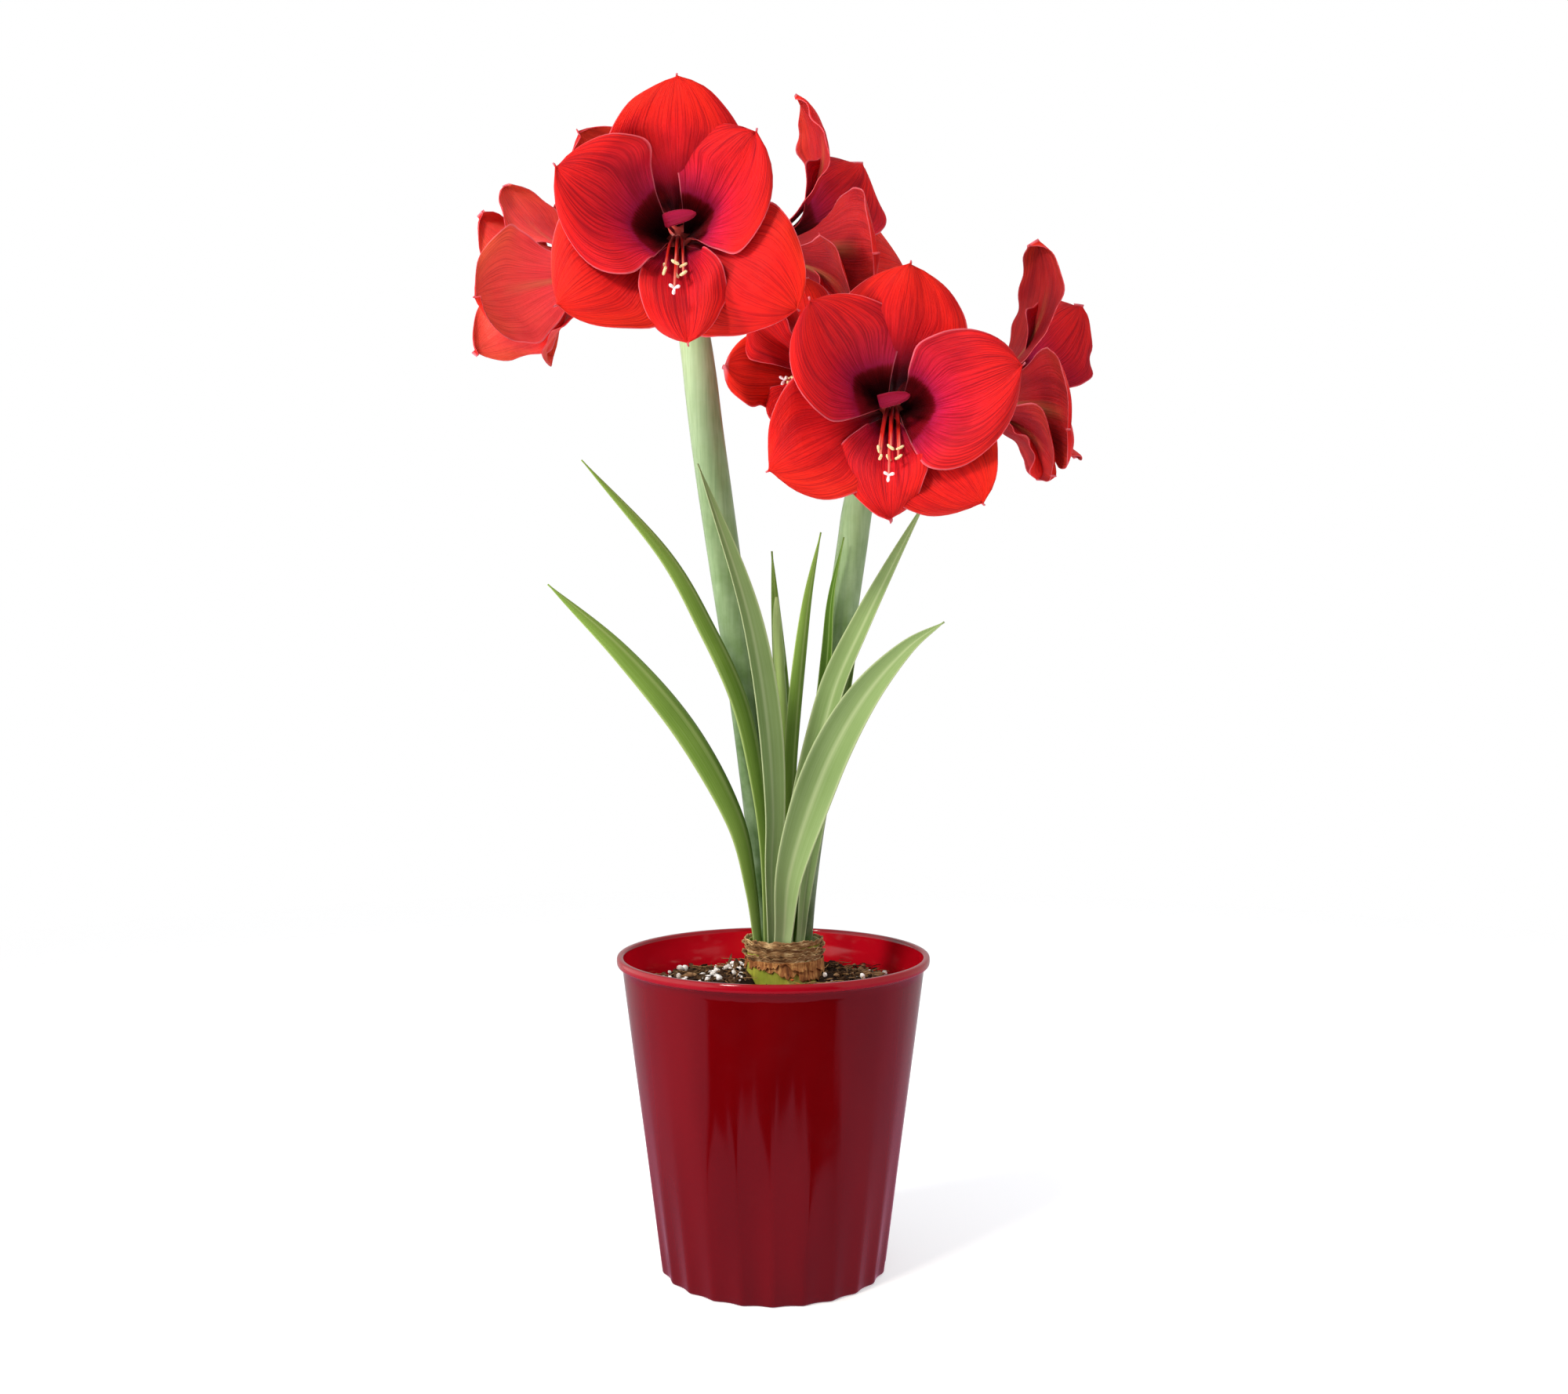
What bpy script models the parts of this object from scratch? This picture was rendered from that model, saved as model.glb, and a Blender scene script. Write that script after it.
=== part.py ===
# Amaryllis in a fluted plastic pot: two flower scapes with four blooms each, nine strap
# leaves and a young bud, growing from one bulb in potting mix.
# Metres, +Z up, origin on the pot's underside at the pot's axis. The front is at -Y.
import math
import random

import bmesh
import bpy
import numpy as np
from mathutils import Matrix, Vector

MM = 0.001
GAP = 0.3 * MM  # clearance between two pieces that rest on each other

# Pot: a tapered shell with a round lip and concave flutes that fade towards the top
POT_HEIGHT = 180 * MM
LIP_RADIUS = 90 * MM
LIP_HEIGHT = 5.5 * MM
BODY_TOP_RADIUS = 87 * MM
BODY_FOOT_RADIUS = 65 * MM
WALL = 2.4 * MM
FLOOR = 3 * MM
FLUTES = 24
FLUTE_DEPTH_FOOT = 1.5 * MM
FLUTE_DEPTH_TOP = 0.3 * MM
POT_COLUMNS = 2 * FLUTES

# Potting mix, with a hole that fits the bulb
SOIL_TOP = 157 * MM
SOIL_MOUND = 5 * MM
SOIL_LUMP = 2.2 * MM
SOIL_COLUMNS = 32
SOIL_RINGS = 5

# Bulb: (height, radius) from the basal plate up to the rim of the neck
BULB_CENTRE = Vector((6 * MM, 0, 0))
BULB_PROFILE = (
    (88, 13), (93, 25), (106, 36), (121, 39.5), (136, 36), (149, 28.5), (160, 23), (172, 21.6), (188, 20.9),
)
BULB_UNDER_SOIL = 6  # this many of them lie below the soil's surface
BULB_COLUMNS = 20
NECK_TOP = 188 * MM
NECK_INSIDE = 19.4 * MM
NECK_FLOOR = 174 * MM

# Dry tunic: a ragged skin round the shoulder and a collar of old leaf bases round the neck
TUNIC_COLUMNS = 20
SKIN_BOTTOM = 168 * MM
SKIN_TOP = 179.5 * MM
SKIN_THICKNESS = 0.8 * MM
COLLAR_BOTTOM = 180 * MM
COLLAR_TOP = 191 * MM
COLLAR_THICKNESS = 1.3 * MM
COLLAR_STEPS = 7
COLLAR_RIDGE = 1.1 * MM  # how far every second ring stands out
COLLAR_SWAY = 0.9 * MM  # how far a ring rises and falls on its way round

# Leaves: the route in millimetres from the neck to the tip, the half width in the neck and at
# its widest, how far the blade's width is turned out of the picture plane at the neck and at the
# tip, and the side on which it is channelled
LEAF_ROWS = 10
LEAF_THICKNESS = 1.3 * MM
LEAF_TIP_THICKNESS = 0.55  # as a share of the thickness at the neck
LEAF_CHANNEL = 0.38  # depth of the channel as a share of the half width
LEAVES = {
    "leaf_left_low": dict(
        route=((-7.4, -3.6, 175), (-12, -7, 219), (-21, -12, 260), (-47, -20, 309), (-83, -30, 353),
               (-124, -38, 391)),
        neck=4, half=10, roll=(62, 42), channel=1),
    "leaf_left_high": dict(
        route=((-3, -5, 175), (-4, -10, 242), (-9, -15, 287), (-18, -17, 327), (-36, -19, 367),
               (-61, -21, 410), (-107, -24, 461)),
        neck=4, half=9, roll=(70, 55), channel=1),
    "leaf_left_upright": dict(
        route=((0, -9.5, 175), (-0.7, -19, 228), (0.5, -23, 264), (-2, -26, 309), (-8.5, -26, 354),
               (-19, -26, 395), (-42, -24, 459)),
        neck=3.5, half=8, roll=(30, 40), channel=-1),
    "leaf_middle_thin": dict(
        route=((6, 14.5, 175), (7, 15, 278), (5.5, 15, 323), (1.5, 15, 377), (-1, 15, 413)),
        neck=3, half=5, roll=(20, 10), channel=1),
    "leaf_middle": dict(
        route=((4.5, -3.5, 175), (9, -5, 255), (11, -6, 300), (15, -7, 345), (20, -8, 386), (27, -9, 422)),
        neck=3, half=5.5, roll=(60, 30), channel=1),
    "leaf_right_high": dict(
        route=((8, -10, 175), (9, -13, 233), (18, -18, 273), (26, -21, 305), (35, -23, 337), (49, -25, 368),
               (66, -26, 402), (86, -26, 440)),
        neck=3.2, half=8.5, roll=(-20, -48), channel=-1),
    "leaf_right_inner": dict(
        route=((9.5, -6.3, 175), (14, -9.5, 215), (20, -12, 255), (26, -12.5, 300), (30.5, -12, 352),
               (33, -12, 385), (40, -12, 419)),
        neck=2, half=4.5, roll=(-20, -40), channel=-1),
    "leaf_right_short": dict(
        route=((14, -11.5, 175), (18.5, -14.5, 220), (27, -17, 273), (35, -17, 305), (41, -18, 332),
               (48, -18, 364)),
        neck=2.2, half=5, roll=(20, -25), channel=-1),
    "leaf_front": dict(
        route=((4, -13.6, 175), (6, -17.5, 195), (9, -26, 228), (19, -33, 264), (33, -40, 300),
               (51, -46, 331), (73, -50, 356), (93, -52, 370)),
        neck=4.5, half=11, roll=(0, -25), channel=-1),
}

# Young bud on its own short scape, behind the middle leaf
BUD_ROUTE = ((7, 7, 175), (6.5, 8, 278), (4.5, 8, 330), (2, 8, 372), (1.6, 8, 386))
BUD_RADII = (3.2, 3.4, 3.4, 3.2, 1.2)
BUD_STEPS = 8

# Scapes: route and radius in millimetres, up to the umbel where the pedicels part
SCAPE_SIDES = 8
SCAPE_STEPS = 10
SCAPES = {
    "scape_left": dict(
        route=((-3.5, 8, 175), (-6, 8, 219), (-11, 7, 278), (-18.5, 6, 341), (-29, 5, 413), (-38, 5, 477),
               (-44, 5, 526), (-50, 4, 562)),
        radii=(5.8, 7.2, 8.4, 9, 9.4, 9.8, 9.7, 8.6)),
    "scape_right": dict(
        route=((16, -1, 175), (17.5, -1, 210), (21.5, 0, 250), (28.5, 1, 296), (38.5, 2, 368), (45, 2, 413),
               (49, 2, 440), (57, 2, 474)),
        radii=(5.8, 6.8, 7.8, 8.2, 8.6, 8.8, 8.8, 7.8)),
}
PEDICEL_SIDES = 6
PEDICEL_RADIUS = 4
PEDICEL_TUCK = 6  # how far each pedicel starts below the umbel's top
OVARY_RADIUS = 6.6
OVARY_LENGTH = 14

# Bloom: the funnel of a tepal, seen along its length. Angles are from the bloom's axis.
TUBE_RADIUS = 5.2 * MM
TUBE_LENGTH = 9 * MM
CLAW_RADIUS = 3.7 * MM
TEPAL_START = 2 * MM
TEPAL_THICKNESS = 0.8 * MM
TEPAL_SHARES = (0, 0.16, 0.34, 0.54, 0.74, 0.91, 1)  # where the rows across a tepal lie
TEPAL_COLUMNS = 4
THROAT_ANGLE = 13
LAYER_STEP = 1.3 * MM  # inner tepals stand this far inside the outer ones at the tube
LAYER_SPREAD = 4  # and this many times further apart again in the blade
RUFFLE = 2.4 * MM  # height of the waves along a tepal's margins
CUP = 2 * MM  # how far the midrib lies below or above the blade
CURL = 3 * MM  # how far the margins roll back
OUTER = dict(inner=0, length=96, half=33)
BROAD = dict(inner=0, length=96, half=38)
INNER = dict(inner=1, length=92, half=34)
LIP = dict(inner=1, length=86, half=20)

# Each bloom: where its tube starts (mm), where it faces, how far it has opened, its scale, how
# far the stamens droop, and for each tepal its kind, its azimuth clockwise from the top as seen
# from in front, the degrees that it opens further than the others, and its stretch in length
FULL_RIGHT = (
    (OUTER, -16, -4, 1.18), (OUTER, 130, -26, 0.96), (OUTER, -118, -2, 1.06),
    (INNER, 70, -18, 1), (INNER, -66, -14, 1.04), (LIP, -176, -12, 1.08),
)
HALF_LEFT = (
    (OUTER, -10, 0, 1), (OUTER, -130, -16, 1), (OUTER, 108, -24, 1.04),
    (INNER, -70, 0, 1), (INNER, 48, -2, 1), (LIP, 170, -22, 1.08),
)
REGULAR = (
    (OUTER, -10, 0, 1), (OUTER, -130, 0, 1), (OUTER, 110, 0, 1),
    (INNER, -70, 0, 1), (INNER, 50, 0, 1), (LIP, 170, 0, 1),
)
LEFT_FRONT = (
    (BROAD, 0, 0, 0.94), (OUTER, 122, 0, 1.02), (OUTER, -122, 0, 1.02),
    (INNER, 43, 0, 1), (INNER, -62, 0, 1.02), (LIP, 174, 0, 0.98),
)
RIGHT_FRONT = (
    (BROAD, 17, 0, 1.04), (OUTER, 138, 0, 1), (OUTER, -120, 0, 1),
    (INNER, 80, 0, 1), (INNER, -35, 0, 1), (LIP, 178, 0, 0.96),
)
BLOOMS = {
    "left_front": dict(
        scape="scape_left", tube=(-51.5, -46, 586), faces=(0.04, -0.97, -0.2), opening=86, scale=1.06,
        droop=0.94, seed=3, tepals=LEFT_FRONT, tongue=True),
    "left_side": dict(
        scape="scape_left", tube=(-86, 14, 577), faces=(-0.95, -0.05, -0.12), opening=64, scale=1,
        droop=0.4, seed=5, tepals=HALF_LEFT, tongue=False),
    "left_right": dict(
        scape="scape_left", tube=(-16, 12, 585), faces=(0.93, 0.02, 0.12), opening=88, scale=0.98,
        droop=0.7, seed=8, tepals=FULL_RIGHT, tongue=False),
    "left_back": dict(
        scape="scape_left", tube=(-64, 50, 600), faces=(-0.3, 0.75, 0.6), opening=84, scale=0.98,
        droop=0.8, seed=11, tepals=REGULAR, tongue=False),
    "right_front": dict(
        scape="scape_right", tube=(66, -36, 492), faces=(-0.1, -0.975, -0.17), opening=86, scale=1.08,
        droop=0.94, seed=14, tepals=RIGHT_FRONT, tongue=True),
    "right_side": dict(
        scape="scape_right", tube=(104, 14, 497), faces=(0.93, 0.02, 0.14), opening=84, scale=1,
        droop=0.66, seed=17, tepals=FULL_RIGHT, tongue=False),
    "right_left": dict(
        scape="scape_right", tube=(38, 14, 508), faces=(-0.62, -0.77, 0.12), opening=52, scale=0.78,
        droop=0.3, seed=21, tepals=REGULAR, tongue=False),
    "right_back": dict(
        scape="scape_right", tube=(56, 50, 506), faces=(-0.04, 0.82, 0.54), opening=82, scale=0.94,
        droop=0.7, seed=26, tepals=REGULAR, tongue=False),
}

# Stamens: out of the throat and down towards the lower tepal. Each thread is a list of rings,
# given as the share of its length and its radius in millimetres, and ends in its anther or stigma
FILAMENTS = 6
FILAMENT_RINGS = ((0, 0.8), (0.5, 0.8), (0.94, 0.7), (0.96, 1.7), (1.04, 0.9))
STYLE_RINGS = ((0, 0.8), (0.45, 0.8), (0.94, 0.8), (1, 2.2), (1.02, 0.8))
HUB_RADIUS = 3.6 * MM


def clear_scene():
    for obj in list(bpy.data.objects):
        bpy.data.objects.remove(obj, do_unlink=True)


def new_collection(name):
    collection = bpy.data.collections.new(name)
    bpy.context.scene.collection.children.link(collection)
    return collection


def material(name, colour, roughness):
    mat = bpy.data.materials.new(name)
    mat.use_nodes = True
    shader = mat.node_tree.nodes["Principled BSDF"]
    shader.inputs["Base Color"].default_value = (*colour, 1)
    shader.inputs["Roughness"].default_value = roughness
    shader.inputs["Metallic"].default_value = 0
    mat.diffuse_color = (*colour, 1)
    return mat


def mesh_object(name, points, faces, collection):
    mesh = bpy.data.meshes.new(name)
    mesh.from_pydata([tuple(float(c) for c in p) for p in points], [], faces)
    mesh.update()
    obj = bpy.data.objects.new(name, mesh)
    collection.objects.link(obj)
    return obj


def evaluated_copy(obj, weld=0.01 * MM):
    """The object's evaluated mesh as a plain mesh object in its place, with loose caps welded."""
    graph = bpy.context.evaluated_depsgraph_get()
    bpy.context.view_layer.update()
    mesh = bpy.data.meshes.new_from_object(obj.evaluated_get(graph), depsgraph=graph)
    work = bmesh.new()
    work.from_mesh(mesh)
    if weld:
        bmesh.ops.remove_doubles(work, verts=work.verts, dist=weld)
    bmesh.ops.recalc_face_normals(work, faces=work.faces)
    work.to_mesh(mesh)
    work.free()
    made = bpy.data.objects.new(obj.name, mesh)
    for collection in obj.users_collection:
        collection.objects.link(made)
    made.matrix_world = obj.matrix_world
    name = obj.name
    bpy.data.objects.remove(obj, do_unlink=True)
    made.name = name
    return made


def joined(base, parts):
    """base with the parts fused to it by one Boolean union. The parts are removed."""
    helpers = bpy.data.collections.new("fusing")
    bpy.context.scene.collection.children.link(helpers)
    for part in parts:
        for collection in list(part.users_collection):
            collection.objects.unlink(part)
        helpers.objects.link(part)
    union = base.modifiers.new("Fuse", "BOOLEAN")
    union.operation = "UNION"
    union.operand_type = "COLLECTION"
    union.collection = helpers
    union.solver = "MANIFOLD"
    made = evaluated_copy(base, weld=0)
    for part in parts:
        bpy.data.objects.remove(part, do_unlink=True)
    bpy.data.collections.remove(helpers)
    return made


def smooth_route(points, count):
    """count + 1 points spaced evenly along a Catmull-Rom curve through the given points."""
    ends = [2 * points[0] - points[1], *points, 2 * points[-1] - points[-2]]
    fine = []
    for a, b, c, d in zip(ends, ends[1:], ends[2:], ends[3:]):
        square = 2 * a - 5 * b + 4 * c - d
        cube = 3 * b - a - 3 * c + d
        for t in np.linspace(0, 1, 12, endpoint=False):
            fine.append(b + ((c - a) * t + square * t**2 + cube * t**3) / 2)
    fine = np.array([*fine, points[-1]])
    along = np.concatenate([[0], np.cumsum(np.linalg.norm(np.diff(fine, axis=0), axis=1))])
    wanted = np.linspace(0, along[-1], count + 1)
    return np.stack([np.interp(wanted, along, fine[:, k]) for k in range(3)], axis=1)


def route_mm(points, count):
    return smooth_route([np.array(p, float) * MM for p in points], count)


def radii_along(radii, count):
    """count + 1 radii in metres, spread evenly along the given ones in millimetres."""
    return np.interp(np.linspace(0, 1, count + 1), np.linspace(0, 1, len(radii)), radii) * MM


def tube(name, points, radii, sides, collection):
    """A round stem along the points, whose radius changes on the way, with filled ends."""
    curve = bpy.data.curves.new(name, "CURVE")
    curve.dimensions = "3D"
    curve.bevel_depth = 1
    curve.bevel_resolution = (sides - 4) // 2
    curve.use_fill_caps = True
    spline = curve.splines.new("POLY")
    spline.points.add(len(points) - 1)
    for target, point, radius in zip(spline.points, points, radii):
        target.co = (*point, 1)
        target.radius = radius
    obj = bpy.data.objects.new(name, curve)
    collection.objects.link(obj)
    return evaluated_copy(obj)


def sheet(name, grid, thickness, collection, taper=None):
    """A thin blade: the grid of points, split into triangles and thickened to both sides alike."""
    rows, columns = grid.shape[:2]
    faces = []
    for i in range(rows - 1):
        for j in range(columns - 1):
            a, b = i * columns + j, i * columns + j + 1
            c, d = b + columns, a + columns
            faces += [(a, b, c), (a, c, d)] if j < (columns - 1) / 2 else [(a, b, d), (b, c, d)]
    obj = mesh_object(name, grid.reshape(-1, 3), faces, collection)
    solid = obj.modifiers.new("Thickness", "SOLIDIFY")
    solid.thickness = thickness
    solid.offset = 0
    solid.use_even_offset = False
    if taper is not None:
        group = obj.vertex_groups.new(name="thickness")
        for i in range(rows):
            group.add(list(range(i * columns, (i + 1) * columns)), float(taper[i]), "REPLACE")
        solid.vertex_group = "thickness"
        solid.thickness_vertex_group = 0
    return evaluated_copy(obj)


def turned(name, rings, collection):
    """A closed body from rings of points, each with a centre point at the first and last end."""
    points = [rings[0].mean(axis=0)]
    columns = len(rings[0])
    for ring in rings:
        points.extend(ring)
    points.append(rings[-1].mean(axis=0))
    last = len(points) - 1
    faces = []
    for j in range(columns):
        k = (j + 1) % columns
        faces.append((0, 1 + k, 1 + j))
        for i in range(len(rings) - 1):
            a = 1 + i * columns
            faces.append((a + j, a + k, a + columns + k, a + columns + j))
        a = 1 + (len(rings) - 1) * columns
        faces.append((a + j, a + k, last))
    return mesh_object(name, points, faces, collection)


def closed_sleeve(name, rings, collection):
    """A closed body of rings that come back to the first one, such as a collar."""
    columns = len(rings[0])
    count = len(rings)
    faces = []
    for i in range(count):
        for j in range(columns):
            k = (j + 1) % columns
            a, b = i * columns, (i + 1) % count * columns
            faces.append((a + j, a + k, b + k, b + j))
    return mesh_object(name, np.concatenate(rings), faces, collection)


def ring_of(columns, radius, height, centre=Vector((0, 0, 0))):
    """A ring of points. The radius and the height are numbers or functions of the angle."""
    made = []
    for j in range(columns):
        angle = 2 * math.pi * j / columns
        r = radius(angle) if callable(radius) else radius
        z = height(angle) if callable(height) else height
        made.append((centre.x + r * math.cos(angle), centre.y + r * math.sin(angle), z))
    return np.array(made)


def make_pot(collection):
    def outer(height):
        share = height / (POT_HEIGHT - LIP_HEIGHT)
        radius = BODY_FOOT_RADIUS + (BODY_TOP_RADIUS - BODY_FOOT_RADIUS) * share
        depth = FLUTE_DEPTH_FOOT + (FLUTE_DEPTH_TOP - FLUTE_DEPTH_FOOT) * share
        return lambda angle: radius - depth * abs(math.sin(angle * FLUTES / 2))

    shoulder = POT_HEIGHT - LIP_HEIGHT
    foot_chamfer = 1.5 * MM
    inside_top = BODY_TOP_RADIUS - WALL
    rings = [ring_of(POT_COLUMNS, lambda a: outer(0)(a) - foot_chamfer, 0)]
    rings += [ring_of(POT_COLUMNS, outer(z), z) for z in (foot_chamfer, shoulder / 2, shoulder)]
    rings += [
        ring_of(POT_COLUMNS, LIP_RADIUS - 0.5 * MM, shoulder),
        ring_of(POT_COLUMNS, LIP_RADIUS, shoulder + 1.5 * MM),
        ring_of(POT_COLUMNS, LIP_RADIUS - 0.3 * MM, POT_HEIGHT - 1.2 * MM),
        ring_of(POT_COLUMNS, LIP_RADIUS - 1.6 * MM, POT_HEIGHT),
        ring_of(POT_COLUMNS, inside_top + 1.2 * MM, POT_HEIGHT),
        ring_of(POT_COLUMNS, inside_top, POT_HEIGHT - 1.2 * MM),
        ring_of(POT_COLUMNS, pot_inside(FLOOR), FLOOR),
    ]
    return turned("pot", rings, collection)


def pot_inside(height):
    """Radius of the pot's smooth inner wall at a height."""
    share = height / (POT_HEIGHT - LIP_HEIGHT)
    foot = BODY_FOOT_RADIUS - FLUTE_DEPTH_FOOT - WALL
    return foot + (BODY_TOP_RADIUS - WALL - foot) * share


def bulb_radius(height):
    heights, radii = np.array(BULB_PROFILE).T * MM
    return float(np.interp(height, heights, radii))


def soil_height(share, angle, rng_waves):
    """Height of the soil's surface, from the bulb (share 0) to the wall (share 1)."""
    mound = SOIL_MOUND * (1 - share) ** 1.5
    lumps = sum(
        size * math.sin(turns * angle + phase) * math.cos(share * pull + phase)
        for size, turns, pull, phase in rng_waves
    )
    edge_calm = min(1, 6 * (1 - share) + 0.25)
    return SOIL_TOP + mound + SOIL_LUMP * lumps * edge_calm


def make_soil(collection):
    rng = random.Random(41)
    waves = [
        (rng.uniform(0.25, 0.6), rng.randint(3, 9), rng.uniform(6, 22), rng.uniform(0, 2 * math.pi))
        for _ in range(5)
    ]
    inscribed = math.cos(math.pi / POT_COLUMNS)
    bottom = FLOOR + GAP

    def wall(height):
        return pot_inside(height) * inscribed - GAP

    hole_gap = 2 * GAP
    rings = [ring_of(SOIL_COLUMNS, wall(bottom), bottom)]
    for share in np.linspace(1, 0, SOIL_RINGS + 1):
        ring = []
        for j in range(SOIL_COLUMNS):
            angle = 2 * math.pi * j / SOIL_COLUMNS
            height = soil_height(share, angle, waves)
            out = Vector((math.cos(angle), math.sin(angle), 0))
            at_bulb = BULB_CENTRE + out * (bulb_radius(height) + hole_gap)
            at_wall = out * wall(SOIL_TOP - 3 * SOIL_LUMP)
            ring.append((*at_bulb.lerp(at_wall, share).xy, height))
        rings.append(np.array(ring))
    for height, radius in reversed(BULB_PROFILE[:BULB_UNDER_SOIL]):
        rings.append(ring_of(SOIL_COLUMNS, radius * MM + hole_gap, height * MM - GAP, BULB_CENTRE))
    return turned("soil", rings, collection)


def make_bulb(collection):
    rings = [ring_of(BULB_COLUMNS, r * MM, z * MM, BULB_CENTRE) for z, r in BULB_PROFILE]
    rings.append(ring_of(BULB_COLUMNS, NECK_INSIDE, NECK_TOP, BULB_CENTRE))
    rings.append(ring_of(BULB_COLUMNS, NECK_INSIDE, NECK_FLOOR, BULB_CENTRE))
    return turned("bulb", rings, collection)


def make_tunic_skin(collection):
    """The torn brown skin below the collar: its lower edge is ragged and lifts from the bulb."""
    rng = random.Random(7)
    tears = [rng.uniform(-2.5, 4.5) * MM for _ in range(TUNIC_COLUMNS)]
    lifts = [rng.uniform(0, 1.4) * MM for _ in range(TUNIC_COLUMNS)]
    inside, outside, top_in, top_out = [], [], [], []
    for j in range(TUNIC_COLUMNS):
        angle = 2 * math.pi * j / TUNIC_COLUMNS
        edge = SKIN_BOTTOM + tears[j]
        out = Vector((math.cos(angle), math.sin(angle), 0))
        low = bulb_radius(edge) + GAP + lifts[j] + 0.1 * MM
        high = bulb_radius(SKIN_TOP) + GAP + 0.2 * MM
        inside.append(BULB_CENTRE + out * low + Vector((0, 0, edge)))
        outside.append(BULB_CENTRE + out * (low + SKIN_THICKNESS) + Vector((0, 0, edge)))
        top_out.append(BULB_CENTRE + out * (high + SKIN_THICKNESS) + Vector((0, 0, SKIN_TOP)))
        top_in.append(BULB_CENTRE + out * high + Vector((0, 0, SKIN_TOP)))
    rings = [np.array(ring) for ring in (inside, outside, top_out, top_in)]
    return closed_sleeve("tunic_skin", rings, collection)


def make_tunic_collar(collection):
    """Old leaf bases, dried to stacked rings that run slightly askew round the neck."""
    inner = bulb_radius(COLLAR_BOTTOM) + 2 * GAP
    rings = []
    for i in range(COLLAR_STEPS):
        share = i / (COLLAR_STEPS - 1)
        ridge = COLLAR_RIDGE if i % 2 else 0
        ring = []
        for j in range(TUNIC_COLUMNS):
            angle = 2 * math.pi * j / TUNIC_COLUMNS
            sway = COLLAR_SWAY * math.sin(2 * angle + 1.7 * i) * math.sin(math.pi * share)
            bulge = ridge * (0.75 + 0.25 * math.sin(5 * angle + 2 * i))
            radius = inner + COLLAR_THICKNESS + bulge
            height = COLLAR_BOTTOM + (COLLAR_TOP - COLLAR_BOTTOM) * share + sway
            x = BULB_CENTRE.x + radius * math.cos(angle)
            y = BULB_CENTRE.y + radius * math.sin(angle)
            ring.append((x, y, height))
        rings.append(ring)
    rings.append(ring_of(TUNIC_COLUMNS, inner, COLLAR_TOP, BULB_CENTRE))
    rings.append(ring_of(TUNIC_COLUMNS, inner, COLLAR_BOTTOM, BULB_CENTRE))
    return closed_sleeve("tunic_collar", [np.array(r) for r in rings], collection)


def leaf_grid(spec, rows, columns):
    """The middle surface of a strap leaf: rows of points across it, from the neck to the tip."""
    line = route_mm(spec["route"], rows)
    tangents = np.gradient(line, axis=0)
    depth = np.array((0.0, 1.0, 0.0))
    grid = np.zeros((rows + 1, columns + 1, 3))
    for i, share in enumerate(np.linspace(0, 1, rows + 1)):
        along = tangents[i] / np.linalg.norm(tangents[i])
        across = np.cross(depth, along)
        across /= np.linalg.norm(across)
        roll = math.radians(spec["roll"][0] + (spec["roll"][1] - spec["roll"][0]) * share)
        width = across * math.cos(roll) + depth * math.sin(roll)
        width -= along * width.dot(along)
        width /= np.linalg.norm(width)
        normal = np.cross(along, width) * spec["channel"]
        half = leaf_half_width(spec, share)
        for j, u in enumerate(np.linspace(-1, 1, columns + 1)):
            grid[i, j] = line[i] + width * (u * half) + normal * (LEAF_CHANNEL * half * (u * u - 0.5))
    return grid


def leaf_half_width(spec, share):
    """Half the width in metres: narrow in the neck, widest at half length, pointed at the tip."""
    rise = min(1, share / 0.5)
    rise = rise * rise * (3 - 2 * rise)
    body = spec["neck"] + (spec["half"] - spec["neck"]) * rise
    fall = max(0, (share - 0.5) / 0.5)
    return max(body * (1 - fall**2.1), 0.8) * MM


def make_leaf(name, spec, collection):
    grid = leaf_grid(spec, LEAF_ROWS, 2)
    taper = np.linspace(1, LEAF_TIP_THICKNESS, LEAF_ROWS + 1)
    return sheet(name, grid, LEAF_THICKNESS, collection, taper)


def make_bud(collection):
    points = route_mm(BUD_ROUTE, BUD_STEPS)
    return tube("bud_young", points, radii_along(BUD_RADII, BUD_STEPS), SCAPE_SIDES, collection)


def bloom_matrix(spec):
    """Local +Z runs out of the throat, +Y to the top tepal and +X to the viewer's right."""
    out = Vector(spec["faces"]).normalized()
    up = Vector((0, 0, 1))
    top = (up - out * up.dot(out)).normalized()
    turn = Matrix((top.cross(out), top, out)).transposed().to_4x4()
    return Matrix.Translation(Vector(spec["tube"]) * MM) @ turn


def make_scape(name, spec, collection):
    """The scape with the pedicels and green ovaries of its umbel, as one grown piece."""
    line = route_mm(spec["route"], SCAPE_STEPS)
    radii = radii_along(spec["radii"], SCAPE_STEPS)
    stem = tube(name, line, radii, SCAPE_SIDES, collection)
    top = Vector(line[-1])
    lower = top - Vector(line[-1] - line[-2]).normalized() * PEDICEL_TUCK * MM
    pedicels = []
    for bloom in BLOOMS.values():
        if bloom["scape"] != name:
            continue
        frame = bloom_matrix(bloom)
        out = frame.to_3x3().col[2]
        seat = frame.translation - out * GAP
        ovary = seat - out * OVARY_LENGTH * MM
        bend = ovary - out * 6 * MM
        start = lower + (bend - lower) * 0.12
        middle = lower.lerp(bend, 0.6) + Vector((0, 0, 3 * MM))
        swollen = seat - out * 0.45 * OVARY_LENGTH * MM
        points = [start, middle, bend, ovary, swollen, seat]
        widths = (PEDICEL_RADIUS, PEDICEL_RADIUS, PEDICEL_RADIUS, 5, OVARY_RADIUS, 5)
        pedicels.append(tube("pedicel", points, [w * MM for w in widths], PEDICEL_SIDES, collection))
    return joined(stem, pedicels)


def tepal_half_width(kind, share, radius, scale):
    """Half width in metres: a narrow claw that fits the tube, then a broad blade with a blunt tip."""
    blade = kind["half"] * scale * max(0, math.sin(math.pi * share**1.6)) ** 0.62
    claw = 3.4 * scale * (1 - share)
    return max(min(max(blade, claw) * MM, 0.9 * radius), 0.8 * MM)


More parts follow.
